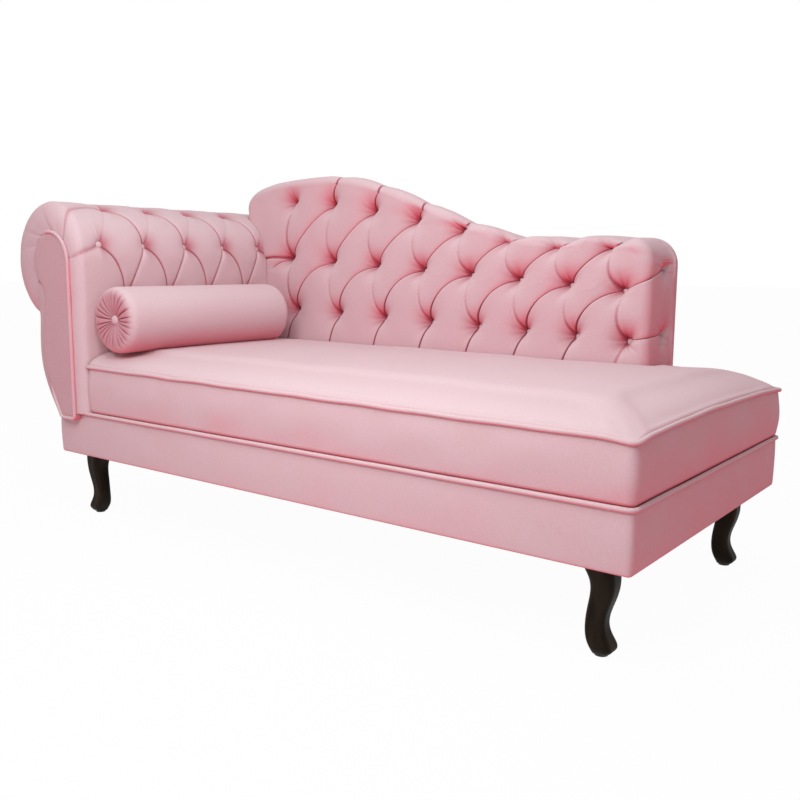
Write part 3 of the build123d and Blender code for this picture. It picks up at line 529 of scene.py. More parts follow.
# A pleat's way in five steps: seat, lower, middle and upper button, top edge, rear
PLEAT_STEPS = 5
PLEAT_BENDS = (0.3, 0.7, 0.25, 0.5, 0.0)  # it leaves a button upwards and comes to the next from the side
PLEAT_FIRST = array((1, 0, 0, 0, 0))
PLEAT_LAST = array((8, 8, 7, 6, 6))
PLEATS_LAID = (-4, 10)  # the grid's first and last pleat, past both ends of the back
PLEAT_SHARES = steps((0, 0.045, 8), (0.045, 0.93, 50), (0.93, 1, 10))[:-1]  # closest at the rolled lip
FOOT_LEAN, EDGE_LEAN, REAR_LEAN = 0.045, 0.024, 0.040  # how far a pleat runs sideways past its buttons
EDGE_RISE = 0.028  # least height of the edge over the upper button
TOP_DRAWN, TOP_DRAWN_WIDTH = 0.007, 0.024  # of the top edge at a pleat
TOP_PUFF, TOP_PUFF_WIDTH = 0.006, 0.045  # and between two
CREASE_WIDTH = 0.0013
FAN_REACH = 0.027
TUCK_SHARE = 0.55  # how strong the tucks round the right end are
PIT_SHADE = (0.75, -0.66)  # towards the panel that hides half of a pit
BUTTON_RAYS = ((100, 0.050), (124, 0.052), (152, 0.036))
CORNER_RAYS = [(angle, 0.042) for angle in (220, 255, 290, 325, 365)]  # of the last button by the seat
END_ROLL = 0.0045  # roll along the rear edge of the right end
END_ROLL_INSET = 0.018


def top_line(x):
    """Serpentine top edge, without the rounding at its two ends."""
    return BACK_CREST - (BACK_CREST - BACK_LOW) * ease((x - BACK_LEFT - OGEE_START) / OGEE_LENGTH)


def rear_fall(x, y):
    """How far the top lies below its front edge at a depth y."""
    share = clip((y - PAD_FRONT - TOP_FRONT) / (FRAME_REAR - PAD_FRONT - TOP_FRONT), 0, 1)
    return top_line(x) - top_line(x + REAR_EARLY * share)


def back_outline(margin):
    """Left side, shoulder, serpentine top, right corner and right side, drawn in by margin."""
    left, right = BACK_LEFT + margin, BACK_RIGHT - margin
    crest, corner = BACK_CREST - margin, BACK_CORNER - margin
    start = BACK_LEFT + OGEE_START
    shoulder = [
        (left, crest - BACK_SHOULDER),
        (left, crest - BACK_SHOULDER / 3),
        (left + OGEE_START / 4, crest),
        (start, crest),
    ]
    top_x = linspace(start, right - corner, 90)
    return vstack([
        [(left, SEAT_BOTTOM)],
        bezier(shoulder),
        stack(top_x, top_line(top_x) - margin),
        arc((right - corner, BACK_LOW - margin - corner), corner, pi / 2, 0, 16),
        [(right, SEAT_BOTTOM)],
    ])


def wrap_back(sheet):
    """Places, outward directions and reach past the flat front for points of the flat sheet."""
    path = back_outline(BACK_EDGE)
    spot, reach = nearest_on(path, sheet)
    top = np.interp(sheet[:, 0], path[1:-1, 0], path[1:-1, 1])
    inside = (sheet[:, 0] > path[0, 0]) & (sheet[:, 0] < path[-1, 0]) & (sheet[:, 1] < top)
    reach = where(inside, 0, reach)
    outward = (sheet - spot) / maximum(reach, 1e-9)[:, None]
    outward[inside] = 0
    turn = minimum(reach / BACK_EDGE, pi / 2)
    forward, turned = cos(turn), sin(turn)
    past = clip(reach - EDGE_TURN, 0, BACK_REACH - EDGE_TURN)
    flat = where(inside[:, None], sheet, spot + outward * (BACK_EDGE * turned)[:, None])
    height = flat[:, 1]
    low, full, fade = BULGE_HEIGHTS
    bulge = ease(height, low, full) * (1 - ease(height, fade, BACK_CREST))
    left_side = clip(-outward[:, 0], 0, 1) * turned
    x = flat[:, 0] - SHOULDER_BULGE * bulge * left_side * (1 - past / (BACK_REACH - EDGE_TURN))
    y = PAD_FRONT + BACK_EDGE * (1 - forward) + past
    normal = stack(outward[:, 0] * turned, -forward, outward[:, 1] * turned)
    return stack(x, y, height - rear_fall(x, y)), normal, reach


def back_button(row, column):
    """Sheet place of a button. Columns count from 1, also in fractions; past 8 is the tuck round the end."""
    first, last, bow, left, right, pull = BACK_ROWS[row]
    share = (column - 1) / (COLUMNS - 1)
    x = BACK_LEFT + first + share * (BACK_RIGHT - BACK_LEFT - first - last) + bow * sin(pi * share)
    fall = share
    if row == 2:
        fall = ease((x - BACK_LEFT - ROW_FALL_START * OGEE_START) / (ROW_FALL_LENGTH * OGEE_LENGTH))
    past = clip(column - COLUMNS, 0, 2)
    return stack(x + past * pull[0], left + fall * (right - left) + past * pull[1])


def back_sheet(line, level):
    """Flat place at a level of a pleat's way, which climbs to the right."""
    rows = [back_button(row, line + row) for row in range(3)]
    edge_x = rows[2][..., 0] + EDGE_LEAN
    edge_z = maximum(top_line(edge_x) - BACK_EDGE, rows[2][..., 1] + EDGE_RISE)
    rear_x = edge_x + REAR_LEAN
    rear_z = top_line(rear_x) - BACK_EDGE + 1.15 * BACK_REACH
    foot = stack(rows[0][..., 0] - FOOT_LEAN, SEAT_LINE)
    stops = [foot, *rows, stack(edge_x, edge_z), stack(rear_x, rear_z)]
    sheet = np.zeros(line.shape + (2,))
    for step, bend in enumerate(PLEAT_BENDS):
        here = (level >= step) & (level <= step + 1)
        t = clip(level - step, 0, 1)
        sideways = (1 - bend) * t + bend * t * t
        upwards = (1 - bend) * t + bend * (1 - (1 - t) ** 2)
        way = stops[step] + (stops[step + 1] - stops[step]) * stack(sideways, upwards)
        sheet[here] = way[here]
    return sheet


def pleat_strength(number, level):
    """How strong each pleat is along its way: none at the left end, and short ones at the right."""
    step = minimum(level.astype(int), PLEAT_STEPS - 1)
    along = level - step
    by_step = np.choose(step, [
        where(number == COLUMNS, 0.3, 1.2),
        where(number == 0, ease(along, 0.62, 0.85), 1.0),
        where(number == COLUMNS, 0.0, 1.0),
        where(number == COLUMNS - 1, 0.0, 0.9),
        where(number == COLUMNS - 1, 0.0, 0.9 - 0.9 * ease(along, 0.0, 0.4)),
    ])
    return by_step * ((number >= PLEAT_FIRST[step]) & (number <= PLEAT_LAST[step]))


def top_edge(line, level, side):
    """Pleats draw the top edge down and it puffs up between them, most where it is low."""
    over_top = ease(level, 3.0, 3.6) * (1 - 0.5 * ease(level, 4.3, PLEAT_STEPS))
    low_end = 0.25 + 0.75 * ease(line, 2, 5)
    number = np.round(line)
    pleated = (number >= 0) & (number <= COLUMNS - 2)
    drawn = pleated * bell(side, TOP_DRAWN_WIDTH)
    puffed = (1 - bell(side, TOP_PUFF_WIDTH)) * ease(line, -0.5, 0) * (1 - ease(line, 6.1, 6.8))
    return over_top * low_end * (TOP_DRAWN * drawn - TOP_PUFF * puffed)


def back_marks(sheet):
    """Depth and painted shade of the marks at the buttons, and the buttons' places."""
    depth, painted_shade, wrinkles = np.zeros((3, len(sheet)))
    spots = []
    for row in range(3):
        for column in range(1, COLUMNS + 2):
            if row == 0 and column > COLUMNS:
                continue
            centre = back_button(row, float(column))
            gap = norm(sheet - centre)
            tuck = TUCK_SHARE if column > COLUMNS else 1.0
            # The panel below and right of a button stays flat and hides half of the pit
            lower = (sheet - centre) @ array(PIT_SHADE) / (gap + 0.004)
            depth += DIMPLE * tuck * bell(gap, DIMPLE_REACH, 1.2) * (1 - 0.65 * ease(lower, -0.1, 0.7))
            # Painted shade: a dark fan with streaks on the side of the pit that stays open
            turn = np.arctan2(sheet[:, 0] - centre[0], sheet[:, 1] - centre[1])
            streaks = 1 + 0.25 * cos(11 * turn + column)
            painted_shade += 0.52 * tuck * (1 - ease(lower, -0.4, 0.4)) * streaks * bell(gap, FAN_REACH, 1.6)
            wrinkles += wrinkled(sheet, centre, BUTTON_RAYS, WRINKLE * tuck)
            if column > COLUMNS:
                continue
            spots.append(centre)
            if row < 2:
                strong = 1.6 if column in (1, COLUMNS) else 1.0
                end = centre + 0.92 * (back_button(row + 1, float(column)) - centre)
                wrinkles += furrow(sheet, centre, end, 1.3 * WRINKLE * strong, 0.0032, 0.018, 0.45)
    # A long fold to the arm, and the fan by the seat at the other end
    first_middle = back_button(1, 1.0)
    wrinkles += furrow(sheet, first_middle, first_middle - (0.16, 0.012), 1.3 * PLEAT, 0.0030, -0.012, 0.2)
    wrinkles += wrinkled(sheet, back_button(0, float(COLUMNS)), CORNER_RAYS, WRINKLE, 0.0030)
    # Painted shade in the wrinkles and folds
    painted_shade += 0.5 * ease(wrinkles, 0.25 * WRINKLE, 1.2 * WRINKLE)
    depth += wrinkles + UNEVEN * (1 + ripple(*sheet.T, 0.09, 3))
    return depth, painted_shade, spots


def make_back():
    first, last = PLEATS_LAID
    levels = repeated(clustered(36), 0, PLEAT_STEPS)
    line, level = np.meshgrid(repeated(PLEAT_SHARES, first, last), levels, indexing="ij")
    plain = back_sheet(line, level)
    number = np.round(line)
    strength = pleat_strength(number, level)
    # Distance to the nearest pleat, with its sign: the panel on the right laps over the one on the left
    side = np.zeros(line.shape)
    for pleat in range(first, last + 1):
        here = number == pleat
        path = back_sheet(np.full(200, float(pleat)), linspace(0, PLEAT_STEPS, 200))
        side[here] = np.sign(line[here] - pleat) * nearest_on(path, plain[here])[1]
    up = np.gradient(plain, levels, axis=1)
    up /= maximum(norm(up), 1e-9)[..., None]
    to_right = stack(up[..., 1], -up[..., 0])
    roll = sin(pi * clip(side / LIP, 0, 1))
    sheet = (plain - to_right * (OVERLAP * strength * roll)[..., None]).reshape(-1, 2)

    lip = clip(1 - side / LIP, 0, 1)
    over = 1 - sqrt(maximum(1 - lip**2, 0))
    left_side = minimum(side, 0)
    under = 0.8 * exp(left_side / TUCK_REACH) + 0.2 * exp(left_side / TUCK_SPREAD)
    pleated = PLEAT * strength * where(side > 0, over, under) + top_edge(line, level, side)
    pleated += PUFF * (1 - 2 * np.abs(line - number)) ** 2 * where(strength > 0, 1, 0.2)
    # Painted shadow: the strip under the lip is darkened, wider where a pleat climbs steeply
    hidden = 0.0018 + 0.0052 * clip(up[..., 1], 0, 1) ** 3
    beside = where(side > 0, side, maximum(-side - hidden, 0))
    painted_lip_shadow = 0.95 * minimum(strength, 1) * bell(beside, CREASE_WIDTH)
    depth, painted_shade, spots = back_marks(sheet)
    depth += pleated.ravel()
    painted_shade += painted_lip_shadow.ravel()

    place, normal, reach = wrap_back(sheet)
    depth *= 1 - ease(reach, BACK_REACH - 0.045, BACK_REACH)
    at_end = ease(normal[:, 0], 0.5, 0.9)
    depth -= END_ROLL * at_end * bell(reach - BACK_REACH + END_ROLL_INSET, END_ROLL)
    faces = quads(*line.shape)
    faces = faces[(reach[faces] < BACK_REACH).any(axis=1)][:, ::-1]
    painted_shade *= 1 - ease(reach, 0.7 * EDGE_TURN, 1.5 * EDGE_TURN)
    points = place - normal * depth[:, None]
    piece("back_velvet", points, faces, VELVET, ["back_pad", "back_foam"], painted_shade=painted_shade)
    sunk = DIMPLE + PLEAT + PUFF - 0.004
    domes("back_covered_buttons", sunk_spots(wrap_back, spots, sunk), ["back_buttons"], VELVET)


make_back()


# Arm: a sheet up the inside, over the roll and under it, drawn in behind the facing at the front
ROLL_END = radians(250)
SCROLL_RADIUS = 0.080
SCROLL_END = radians(216)
SCROLL_X = FACING_HIGH.x - SCROLL_RADIUS
SCROLL_Z = FACING_HIGH.z - SCROLL_RADIUS
ARM_START = FRONT - 0.016  # where the velvet comes out from behind the facing
ARM_EDGE = 0.036  # rounding of the arm's front edge
ARM_BOTTOM = SEAT_BOTTOM - ROLL_Z
ARM_TOP = (ROLL_END + radians(2)) * ROLL_RADIUS
ARM_PITCH = 0.138  # between buttons of a row
ARM_FIRST = FRONT + 0.060  # depth of the first button
ARM_ROW_FIRST = -0.091  # rows along the run over the roll, which starts at its inner side
ARM_ROW_PITCH = 0.139
ARM_ROWS = 5
ARM_LATTICE = (-3, 8)  # first and last grid line, past both ends of the arm
ARM_ARCH = (0.010, 0.014)  # how far the pleats bow along the run and in depth
ARM_DIMPLE = 0.013
ARM_DIMPLE_REACH = 0.020
ARM_PLEAT = 0.006
ARM_PLEAT_WIDTH = 0.0032
ARM_FOLD_WIDTH = 0.0034  # of the folds past the first and last row
ARM_CREASE_WIDTH = 0.0016
ARM_FAN_REACH = 0.026
ARM_RAYS = ((-14, 0.060), (4, 0.060), (35, 0.040))
FRONT_FOLDS = {1: (0.028, -0.004), 2: (0.050, 0.012)}  # by row: how far it drops to the facing, and its bow
ARM_GATHER = 0.0015  # small pleats behind the facing
ARM_BUTTON_RADIUS = 0.0092


def arm_sections(run):
    """Section of the roll and of the facing at a run along the cover, and the roll's outward direction."""
    turn = maximum(run, 0) / ROLL_RADIUS
    outward = around(turn)
    drop = stack(0, minimum(run, 0))
    roll = array((ROLL_X, ROLL_Z)) + ROLL_RADIUS * outward + drop
    facing = array((SCROLL_X, SCROLL_Z)) + SCROLL_RADIUS * around(turn * SCROLL_END / ROLL_END) + drop
    return roll, facing, outward


def wrap_arm(sheet):
    """Places and outward directions for points (run, y) of the arm's flat cover."""
    roll, facing, outward = arm_sections(sheet[:, 0])
    rounding = clip(norm(roll - facing) * 0.6, 0.024, ARM_EDGE)
    swelling = quarter((sheet[:, 1] - ARM_START) / rounding)
    flat = facing + (roll - facing) * swelling[:, None]
    normal = unit(stack(outward[:, 0] * swelling, swelling - 1, outward[:, 1] * swelling))
    return stack(flat[:, 0], sheet[:, 1], flat[:, 1]), normal


def arm_end(run):
    """Rear end of the arm's cover: at the back's padding, or beside it at the rear of the frame."""
    x = arm_sections(run)[0][..., 0]
    into_edge = clip(BACK_LEFT + BACK_EDGE - x, 0, BACK_EDGE)
    at_back = NOTCH_Y + BACK_EDGE - sqrt(BACK_EDGE**2 - into_edge**2)
    beside = (run > 0) & (x < BACK_LEFT - NOTCH_GAP)
    return where(beside, FRAME_REAR, at_back)


def arm_marks(sheet):
    """Depth and painted shade of the marks at the buttons, and the buttons' places."""
    depth, painted_shade, wrinkles = np.zeros((3, len(sheet)))
    spots = []
    for row in range(ARM_ROWS):
        run = ARM_ROW_FIRST + row * ARM_ROW_PITCH
        first = ARM_FIRST + (ARM_PITCH / 2 if row % 2 == 0 else 0)
        for y in np.arange(first, float(arm_end(array(run))) - BUTTON_RADIUS, ARM_PITCH):
            centre = array((run, y))
            gap = norm(sheet - centre)
            depth += ARM_DIMPLE * bell(gap, ARM_DIMPLE_REACH, 1.2)
            # Painted shade: a dark fan behind each button
            painted_shade += 0.70 * ease(sheet[:, 1] - y, -0.008, 0.010) * bell(gap, ARM_FAN_REACH, 1.5)
            wrinkles += wrinkled(sheet, centre, ARM_RAYS, 0.7 * WRINKLE)
            if y == first and row in FRONT_FOLDS:
                drop, bow = FRONT_FOLDS[row]
                fold = furrow(sheet, centre, (run - drop, ARM_START), 1.0, 0.0046, bow, 0.1)
                depth += ARM_PLEAT * fold
                # Painted shade along the fold
                painted_shade += 0.45 * fold
            if row == 0:
                depth += furrow(sheet, centre, (ARM_BOTTOM, y), ARM_PLEAT, ARM_FOLD_WIDTH)
            if row == ARM_ROWS - 1:
                depth += furrow(sheet, centre, (ARM_TOP + 0.2, y), ARM_PLEAT, ARM_FOLD_WIDTH)
            spots.append(centre)
    # Painted shade in the wrinkles
    painted_shade += 0.7 * ease(wrinkles, 0.5 * WRINKLE, 2.2 * WRINKLE)
    depth += wrinkles + UNEVEN * (1 + ripple(*sheet.T, 0.08, 5))
    return depth, painted_shade, array(spots)


def make_arm():
    """Diamonds: the grid runs along both families of pleats, so that each pleat is a clean line."""
    lines = repeated(clustered(38), *ARM_LATTICE)
    u, v = (m.ravel() for m in np.meshgrid(lines, lines, indexing="ij"))
    arch = sin(pi * (v - np.floor(v)))
    run = ARM_ROW_FIRST + ARM_ROW_PITCH * (1 + u - v) + ARM_ARCH[0] * arch
    y = ARM_FIRST + (u + v) / 2 * ARM_PITCH + ARM_ARCH[1] * arch
    y_end = arm_end(run)
    outside = (run < ARM_BOTTOM) | (run > ARM_TOP) | (y < ARM_START) | (y > y_end)
    run, y = clip(run, ARM_BOTTOM, ARM_TOP), clip(y, ARM_START, y_end)
    sheet = stack(run, y)
    depth, painted_shade, spots = arm_marks(sheet)

    row = (run - ARM_ROW_FIRST) / ARM_ROW_PITCH
    tufted = ease(row, -0.25, 0.05) * (1 - ease(row, ARM_ROWS - 1.05, ARM_ROWS - 0.75))
    tufted = tufted * ease(y, ARM_FIRST - 0.004, ARM_FIRST + 0.014)
    edge = ARM_PITCH * ARM_ROW_PITCH / np.hypot(ARM_PITCH / 2, ARM_ROW_PITCH)
    for lattice, strength in ((u, 1.0), (v, 0.75 - 0.65 * ease(row, 0.8, 1.2))):
        share = np.abs(lattice - np.round(lattice))
        mark = strength * ARM_PLEAT * exp(-share * edge / ARM_PLEAT_WIDTH)
        depth += (mark + PUFF * 0.8 * (1 - 2 * share) ** 2) * tufted
        # Painted shade along each pleat line
        painted_shade += 0.75 * strength * bell(share * edge, ARM_CREASE_WIDTH) * tufted
    gather = np.abs(sin(run / 0.048 * pi / 2 + 0.6 * sin(run * 31)))
    over_roll = ease(run, 0.16, 0.28)
    depth += ARM_GATHER * (1 - gather) ** 2.5 * over_roll * exp(-((y - ARM_START) / 0.030))
    place, normal = wrap_arm(sheet)
    points = place - normal * depth[:, None]
    faces = quads(len(lines), len(lines))
    faces = faces[~outside[faces].all(axis=1)]
    piece("arm_velvet", points, faces, VELVET_LIT_FROM_RIGHT, ["arm_pad"], painted_shade=painted_shade)
    sunk = ARM_DIMPLE + ARM_PLEAT + where(spots[:, 1:] > ARM_FIRST + 0.01, 0.003, -0.004)
    buttons = sunk_spots(wrap_arm, spots, sunk)
    domes("arm_covered_buttons", buttons, ["arm_buttons"], VELVET_LIT_FROM_RIGHT, ARM_BUTTON_RADIUS)


make_arm()


# Facing of the arm, the outside under its roll, and the rear
NECK = (LEFT - 0.018, 0.578)
BELLY = (LEFT - 0.036, 0.414)
FACING_FOOT = LEFT + 0.036
# Rings of the facing's panel, from its seam to its crowned middle: inset, and how far it stands out
FACING_RINGS = (
    (0.0, 0.0), (0.0003, 0.012), (0.0016, 0.0165), (0.0050, 0.0190), (0.0110, 0.0202), (0.0190, 0.0206),
)
FACING_PAINTED_SHADE = 0.17  # even painted shade over the facing
# Even painted shade over the outside of the arm
OUTSIDE_PAINTED_SHADE = 0.10
OUTSIDE_BELLY = (LEFT - 0.080, 0.430)
OUTSIDE_FOOT = (LEFT - NOTCH_GAP, 0.264)
COVER = REAR - FRAME_REAR  # thickness of the rear panels
COVER_RINGS = ((0.0, 0.0), (0.0, 0.6 * COVER), (0.0025, COVER), (0.012, COVER + 0.0008))


def facing_stem(margin=0.0):
    """Outside edge of the facing, from the scroll down to its foot."""
    scroll = array((SCROLL_X, SCROLL_Z)) + (SCROLL_RADIUS - margin) * around(SCROLL_END)
    stops = (NECK, BELLY, (FACING_FOOT, FACING_LOW.z + margin))
    return spline([scroll, *((x + margin, z) for x, z in stops)])


def facing_outline(margin, count):
    """Outline of the facing with its two foot corners rounded."""
    scroll = arc((SCROLL_X, SCROLL_Z), SCROLL_RADIUS - margin, 0, SCROLL_END)
    foot = [(SCROLL_X + SCROLL_RADIUS - margin, FACING_LOW.z + margin)]
    outline = even(vstack([scroll, facing_stem(margin)[1:], foot]), count, closed=True)
    for _ in range(3):
        outline = (np.roll(outline, 1, axis=0) + 2 * outline + np.roll(outline, -1, axis=0)) / 4
    return outline


def make_panel(name, rings, node, way=1, painted_tone=None):
    """Crowned panel from (outline, depth) rings, with an even painted shade if given. The way is -1 where it
    faces the rear.
    """
    points = vstack([stack(outline[:, 0], y, outline[:, 1]) for outline, y in rings])
    faces = [face[::way] for face in ring_faces(len(rings), len(rings[0][0]))]
    piece(name, points, faces, VELVET, [node], painted_shade=painted_tone)


def make_facing():
    """A softly crowned panel with piping round it, which sinks behind the panel on the outer side."""
    rings = [(facing_outline(inset, 200), FRONT - proud) for inset, proud in FACING_RINGS]
    make_panel("arm_facing_panel", rings, "arm_facing", painted_tone=FACING_PAINTED_SHADE)
    x, z = facing_outline(PIPING * 0.6, 240).T
    outer = 1 - ease(x, SCROLL_X - 0.05, SCROLL_X)
    path = stack(x + 0.002 * outer, FACING_LOW.y + PIPING + 0.010 * outer, z)
    points, faces = tube(path, PIPING, closed=True)
    piece("arm_facing_piping", points, faces, VELVET, ["arm_facing_welt"])


def arm_swelling(count):
    """Outside of the arm under its roll: an arc through its lip, belly and foot."""
    lip = array((ROLL_X, ROLL_Z)) + ROLL_RADIUS * around(ROLL_END)
    a, b, c = array((lip, OUTSIDE_BELLY, OUTSIDE_FOOT))
    centre = np.linalg.solve([b - a, c - a], [(b @ b - a @ a) / 2, (c @ c - a @ a) / 2])
    start, middle, end = (np.arctan2(*(p - centre)[::-1]) for p in (a, b, c))
    start, end = (middle + (angle - middle + pi) % (2 * pi) - pi for angle in (start, end))
    return arc(centre, norm(a - centre), start, end, count)


def make_arm_outside():
    """Swelling panel under the roll, drawn in behind the facing's edge at the front."""
    count = 60
    outer, inner = arm_swelling(count), even(facing_stem(), count)
    rounding = ARM_START + ARM_EDGE * (1 - cos(linspace(0, pi / 2, 14)))
    y = append(rounding, linspace(ARM_START + ARM_EDGE, FRAME_REAR, 70)[1:])[:, None]
    swelling = quarter((y - ARM_START) / ARM_EDGE)
    section = inner + (outer - inner) * swelling[..., None]
    give = 0.0025 * ripple(y, section[..., 1], 0.16, 8) * swelling
    give *= 1 - ease(y, FRAME_REAR - 0.06, FRAME_REAR)
    points = stack(section[..., 0] + give, y, section[..., 1]).reshape(-1, 3)
    faces = quads(len(y), count)
    piece("arm_outside_velvet", points, faces, VELVET, ["arm_outside_pad"], painted_shade=OUTSIDE_PAINTED_SHADE)


def make_rear():
    """Flat panels with a soft edge, flush with the frame, behind the back and behind the arm."""
    back = back_outline(NOTCH_GAP)
    back[:, 1] -= rear_fall(back[:, 0], FRAME_REAR)
    back[[0, -1], 1] = DECK
    start = np.arccos((BACK_LEFT - ROLL_X) / ROLL_RADIUS)
    roll = arc((ROLL_X, ROLL_Z), ROLL_RADIUS - NOTCH_GAP, start, ROLL_END)
    arm = vstack([roll, arm_swelling(40), [(LEFT - NOTCH_GAP, DECK)], [(BACK_LEFT, DECK)]])
    for name, outline, count, node in (
        ("back_rear_panel", back, 260, "back_outside_cover"),
        ("arm_rear_panel", arm, 200, "arm_rear_cover"),
    ):
        outline = even(outline, count, closed=True)
        inward = unit(outline.mean(axis=0) - outline)
        rings = [(outline + inward * inset, FRAME_REAR + proud) for inset, proud in COVER_RINGS]
        make_panel(name, rings, node, -1)


make_facing()
make_arm_outside()
make_rear()


# Seat and base
SEAT_CORNER = 0.014
BASE_CORNER = 0.010
CROWN_RUN = 0.11  # from the seam to the top of the crown
PRESSED = 0.008  # how much lower than the CAD's crown, for the pressure to fill
UNDERSIDE_DROP = 0.05
UNDERSIDE_MARGIN = 0.02
NEAR = 0.004  # counts as at an edge
TURNED = 0.0055  # rounding of the base's lower edge
FABRIC = 0.0008  # below that edge
WELT_PROUD = 0.002
SEAT_PLAN = (
    (SEAT_LEFT, FRONT), (RIGHT, FRONT), (RIGHT, REAR),
    (NOTCH_X, REAR), (NOTCH_X, NOTCH_Y), (SEAT_LEFT, NOTCH_Y),
)
BASE_PLAN = ((LEFT, FRONT), (RIGHT, FRONT), (RIGHT, REAR), (LEFT, REAR))


def seam_height(x, y):
    """The seam is pulled down at the two foot corners and sits higher towards the arm."""
    to_left = clip((RIGHT - x) / (RIGHT - SEAT_LEFT), 0, 1)
    across = clip((y - FRONT) / (REAR - FRONT), 0, 1)
    corner = minimum(np.hypot(RIGHT - x, y - FRONT), np.hypot(RIGHT - x, REAR - y))
    bow = 0.010 * to_left + 0.008 * sin(pi * across) * (1 - to_left)
    return SEAM + bow - 0.004 * bell(corner, 0.035)


def round_corners(x, y, radius):
    """Pulls the two foot corners of the seat's plan into round ones."""
    across = clip(1 - (RIGHT - x) / radius, 0, 1)
    for edge, sign in ((FRONT, 1), (REAR, -1)):
        along = clip(1 - sign * (y - edge) / radius, 0, 1)
        corner = (across > 0) & (along > 0)
        x = where(corner, RIGHT - radius * (1 - across * sqrt(1 - along**2 / 2)), x)
        y = where(corner, edge + sign * radius * (1 - along * sqrt(1 - across**2 / 2)), y)
    return x, y


def under_seat(x, y):
    """Plan place of the seat's underside below a point of its seam, behind the boxing."""
    margin = UNDERSIDE_MARGIN
    if x < NOTCH_X + NEAR and y > NOTCH_Y - NEAR:
        x += margin if abs(x - NOTCH_X) < NEAR else 0
        y -= margin if abs(y - NOTCH_Y) < NEAR else 0
    return min(max(x, SEAT_LEFT + margin), RIGHT - margin), min(max(y, FRONT + margin), REAR - margin)


def close_seat(made):
    """Shuts the open seat top with a flat underside, so that it can hold pressure."""
    shape = bmesh.new()
    shape.from_mesh(made.data)
    rim = [edge for edge in shape.edges if edge.is_boundary]
    for vertex in bmesh.ops.extrude_edge_only(shape, edges=rim)["geom"]:
        if isinstance(vertex, bmesh.types.BMVert):
            vertex.co = (*under_seat(vertex.co.x, vertex.co.y), vertex.co.z - UNDERSIDE_DROP)
    bmesh.ops.holes_fill(shape, edges=[e for e in shape.edges if e.is_boundary], sides=0)
    bmesh.ops.recalc_face_normals(shape, faces=shape.faces)
    shape.to_mesh(made.data)
    shape.free()
    made.data.shade_smooth()


def make_seat_top():
    """Crowned top of the seat, in an angled plan round the back. Pressure swells it inside its seam."""
    edge = CROWN_RUN * (1 - cos(linspace(0, pi / 2, 16)))
    along = steps((SEAT_LEFT, NOTCH_X, 110), (NOTCH_X, RIGHT - CROWN_RUN, 12))
    across = steps((FRONT + CROWN_RUN, NOTCH_Y, 44), (NOTCH_Y, REAR - CROWN_RUN, 6))
    x, y = np.meshgrid(
        append(along, (RIGHT - edge)[-2::-1]),
        np.concatenate([FRONT + edge, across[1:], (REAR - edge)[-2::-1]]),
        indexing="ij",
    )
    behind = ease(x, NOTCH_X - 0.12, NOTCH_X + 0.10)
    front, foot, rear = (quarter(inset / CROWN_RUN) for inset in (y - FRONT, RIGHT - x, REAR - y))
    crown = front * foot * (1 - behind + behind * rear)
    z = seam_height(x, y) + (CROWN - PRESSED) * crown + ripple(x, y, 0.35, 11) * 0.003 * crown
    points = stack(*round_corners(x, y, SEAT_CORNER), z).reshape(-1, 3)
    faces = quads(*x.shape)
    middle = points[faces].mean(axis=1)
    faces = faces[~((middle[:, 0] < NOTCH_X) & (middle[:, 1] > NOTCH_Y))]
    made = piece("seat_top_velvet", points, faces, VELVET, ["seat_top", "seat_foam"])
    close_seat(made)
    x, y, z = vertices_of(made).T
    held = (x < SEAT_LEFT + NEAR) | (x > RIGHT - 0.005) | (y < FRONT + 0.005) | (y > REAR - 0.005)
    held |= (x < NOTCH_X + NEAR) & (y > NOTCH_Y - NEAR)
    swell(made, held | (z < SEAM - 0.01), 4.0, 0.006)


def drawn_in(share, reach=0.09):
    """1 at a sewn edge, fading to 0 within reach."""
    return clip(1 - share / reach, 0, 1) ** 2


def make_band(name, path, profile, nodes):
    """Fabric round an anticlockwise plan, from rows of how far it stands out and its height."""
    ahead = unit(np.roll(path, -1, axis=0) - np.roll(path, 1, axis=0))
    outward = stack(ahead[:, 1], -ahead[:, 0])
    rows = [stack(*(path + outward * proud[:, None]).T, z) for proud, z in profile]
    faces = quads(len(rows), len(path), wrap_columns=True)
    piece(name, vstack(rows), faces, VELVET, nodes)


def make_boxing():
    """Band round the seat, swelling a little between its two welts and drawn in at both."""
    path = round_path(SEAT_PLAN, SEAT_CORNER, 620, closed=True)
    x, y = path.T
    seen = (y < FRONT + 0.02) | (x > RIGHT - 0.02) | (y > REAR - 0.02)
    height = seam_height(x, y) - SEAT_BOTTOM
    along = np.arange(len(path)) * 0.007
    profile = []
    for share in steps((0, 0.12, 7), (0.12, 0.9, 14), (0.9, 1, 5)):
        bulge = 0.005 * sin(pi * share) - 0.006 * drawn_in(share) - 0.003 * drawn_in(1 - share)
        give = 0.0022 * ripple(along, share * 0.11, 0.13, 14) * sin(pi * share)
        profile.append(((bulge + give) * seen, SEAT_BOTTOM + height * share))
    make_band("seat_boxing_velvet", path, profile, ["seat_boxing"])


